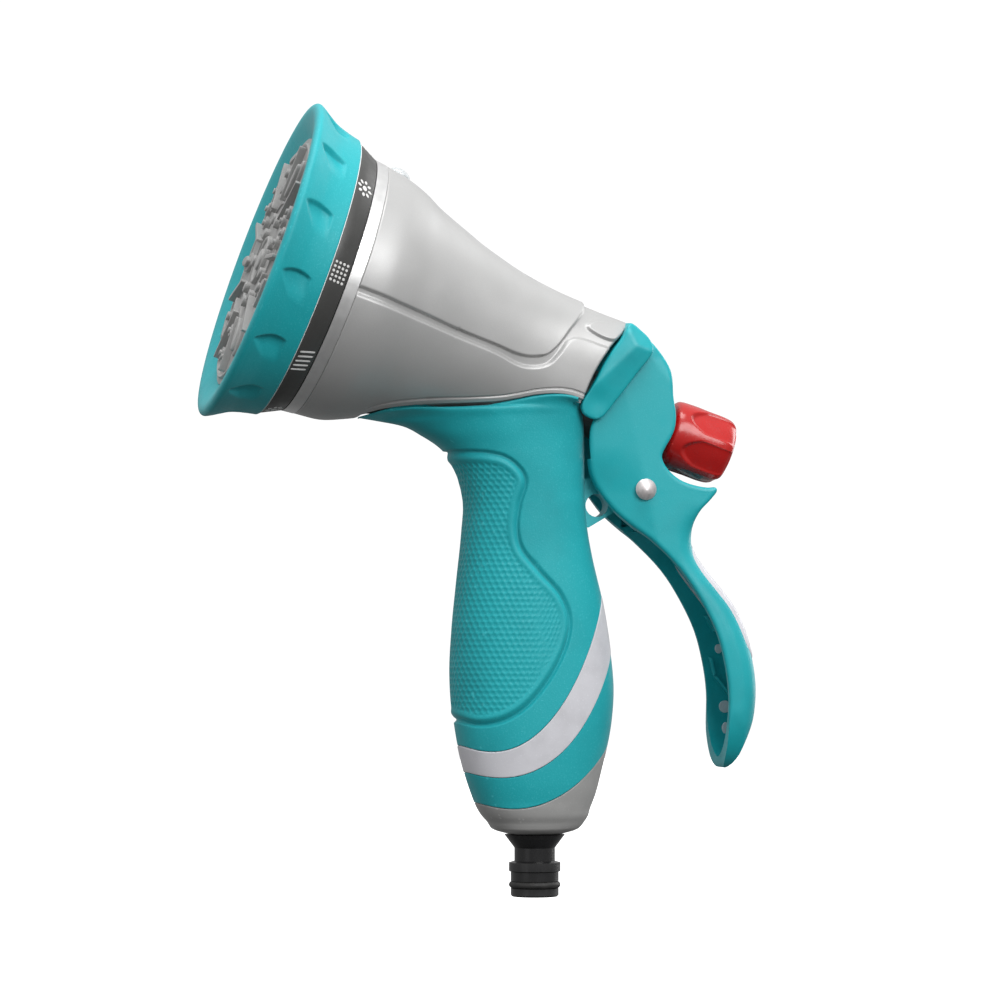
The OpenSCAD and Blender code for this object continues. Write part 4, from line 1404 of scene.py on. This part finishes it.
def surface_back(y, half):
    """How far the arm's rounded back falls in at y across an arm of this half width."""
    beyond = np.clip(np.abs(y) - (half - ARM_ROUND), 0, ARM_ROUND)
    return ARM_ROUND - np.sqrt(ARM_ROUND**2 - beyond**2)


def inlay():
    """Pale strip let into the back of the arm, wrapping onto its sides."""
    path = ARM_BACK[(ARM_BACK[:, 1] < 117) & (ARM_BACK[:, 1] > 74)]
    path = smooth_path(path[::3], 12)
    along = np.gradient(path, axis=0)
    normal = np.column_stack([along[:, 1], -along[:, 0]])
    normal /= np.linalg.norm(normal, axis=1, keepdims=True)
    normal *= np.where(normal[:, 0:1] < 0, -1, 1)
    place = np.linspace(0, 1, len(path))
    arm = arm_half(path)[:, None]
    half = (arm[:, 0] - 2) * np.sqrt(np.clip(1 - (2 * place - 1) ** 8, 0.02, 1))
    across = np.linspace(-1, 1, 49)
    y = half[:, None] * across[None, :]

    def layer(top):
        lift = top * (0.3 + 0.7 * np.sin(math.pi * place[:, None])) if top > 0 else top
        ends = np.minimum(place, 1 - place)[:, None] * 40
        sides = (1 - np.abs(across))[None, :] * 8
        edge = rounded_drop(np.minimum(ends, sides), 0.5)
        fall = surface_back(y, arm) - lift + edge
        point = path[:, None, :] - normal[:, None, :] * fall[..., None]
        return np.stack([point[..., 0], y, point[..., 1]], axis=-1)

    strip = closed_shell("lever_inlay", layer(0.85), layer(-0.9))
    dress(strip, "pale_stripe")
    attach(strip, "trigger")
    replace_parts(strip, "trigger_inlay")


inlay()


def inlay_pegs():
    """Ends of the inlay's pegs, seen inside the arm's channel."""
    pegs = []
    for x, z, half_u, half_v in ((66.6, 81.4, 1.2, 1.6), (68.8, 61.9, 2.0, 2.1), (68.7, 54.2, 1.4, 2.5)):
        circle = ellipse(0, 0, half_u, half_v, 0.15)

        def place(p, x=x, z=z):
            face = channel_half(np.array([[x, z]]))[0] - 0.1
            return np.column_stack([x + p[:, 0], face - p[:, 2], z + p[:, 1]])

        pegs.append(prism("peg", circle, -0.4, 0.6, 0.2, place))
    pegs = join("inlay_pegs", pegs)
    dress(pegs, "pale_stripe")
    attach(pegs, "trigger")


inlay_pegs()

# ---------------------------------------------------------------- knob and pointer

KNOB_FRONT = 130.37
KNOB_T = -6.0
KNOB_FLUTES = 6
FLUTE_DEPTH = 1.35
BORE_RADIUS = 2.6
BORE_DEPTH = 15
KNOB_PROFILE = smooth_path([
    (2.6, 0.05), (7.6, 0.0), (9.8, 0.3), (11.0, 1.2), (11.4, 2.6), (11.55, 5), (11.7, 9),
    (11.75, 13), (11.7, 17.4), (11.2, 20.2), (10.0, 21.8), (8.2, 22.4), (4.5, 22.25), (0.02, 22.1),
], 7)


def knob():
    """Red knob with wide thumb flutes, each arched at its front end."""
    turns = 300
    turn = 2 * math.pi * np.arange(turns)[None, :] / turns
    radius, s = KNOB_PROFILE[:, 0:1], KNOB_PROFILE[:, 1:2]
    pitch = 2 * math.pi / KNOB_FLUTES
    local = (turn + 0.42) % pitch - pitch / 2
    half = pitch * 0.40
    across = np.clip(np.abs(local) / half, 0, 1)
    arch = 5.0 + 5.5 * across**2
    bowl = np.sqrt(np.clip(1 - across**2, 0, 1)) * ease(s - arch, -0.3, 1.3) * (1 - 0.25 * ease(s, 8, 18))
    outside = ease(radius, 8.6, 10)
    radius = radius - FLUTE_DEPTH * bowl * outside
    grid = head_point(KNOB_FRONT + s, KNOB_T + radius * np.cos(turn), radius * np.sin(turn))
    rows = len(KNOB_PROFILE)
    faces = [list(f) for f in grid_faces(rows, turns, wrap=True)]
    hole_t, hole_y = BORE_RADIUS * np.cos(turn[0]), BORE_RADIUS * np.sin(turn[0])
    bore = head_point(KNOB_FRONT + BORE_DEPTH, KNOB_T + hole_t, hole_y)
    faces += [[i, (i + 1) % turns, rows * turns + (i + 1) % turns, rows * turns + i] for i in range(turns)]
    faces.append([rows * turns + i for i in range(turns)])
    faces.append([(rows - 1) * turns + i for i in range(turns)])
    piece = mesh_object("knob", np.vstack([grid.reshape(-1, 3), bore]), faces, smooth_angle=50)
    dress(piece, "red_plastic")
    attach(piece, "knob")
    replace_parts(piece, "flow_knob")


knob()


POINTER_S, POINTER_T = 17.5, 42.2
POINTER_SLOPE = 10.4


def pointer():
    """Milky marker: a low dome standing in a collar on top of the casing."""
    slope = math.radians(POINTER_SLOPE)
    profile = smooth_path([(3.7, -0.3), (3.65, 0.6), (3.3, 1.3), (2.4, 1.95), (1.2, 2.35), (0.02, 2.45)], 5)
    turns = 48
    turn = 2 * math.pi * np.arange(turns)[None, :] / turns
    radius, lift = profile[:, 0:1], profile[:, 1:2]
    u, y = radius * np.cos(turn), radius * np.sin(turn)
    s = POINTER_S + u * math.cos(slope) + lift * math.sin(slope)
    t = POINTER_T - u * math.sin(slope) + lift * math.cos(slope)
    grid = head_point(s, t, y)
    faces = capped_faces(len(profile), turns)
    dome = mesh_object("pointer_dome", grid.reshape(-1, 3), faces, smooth_angle=50)
    dress(dome, "clear_pointer")
    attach(dome, "gun_body")
    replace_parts(dome, "pattern_pointer")


pointer()

# ---------------------------------------------------------------- finish

# CAD nodes that keep their own shape, by the material they get
CARRIED = {
    "bright_trim": ["trim_ring"],
    "dark_plastic": ["valve_gland", "valve_housing"],
    "teal_plastic": ["pivot_bracket"],
    "black_plastic": ["hose_spigot"],
    "inner_plastic": [
        "handle_core", "water_tube", "waterway_tube", "front_bulkhead", "selector_disc",
    ],
    "seal_rubber": ["spigot_oring", "spigot_gasket", "gland_oring", "port_seal", "valve_seal"],
    "steel": [
        "inlet_screen", "valve_spring", "port_spring", "detent_ball", "detent_spring", "hub_screw",
        "pivot_pin", "valve_stem",
    ],
}
for slot_name, names in CARRIED.items():
    for node_name in names:
        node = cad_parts[node_name]
        for place in node.material_slots:
            place.material = PAINTS[slot_name]
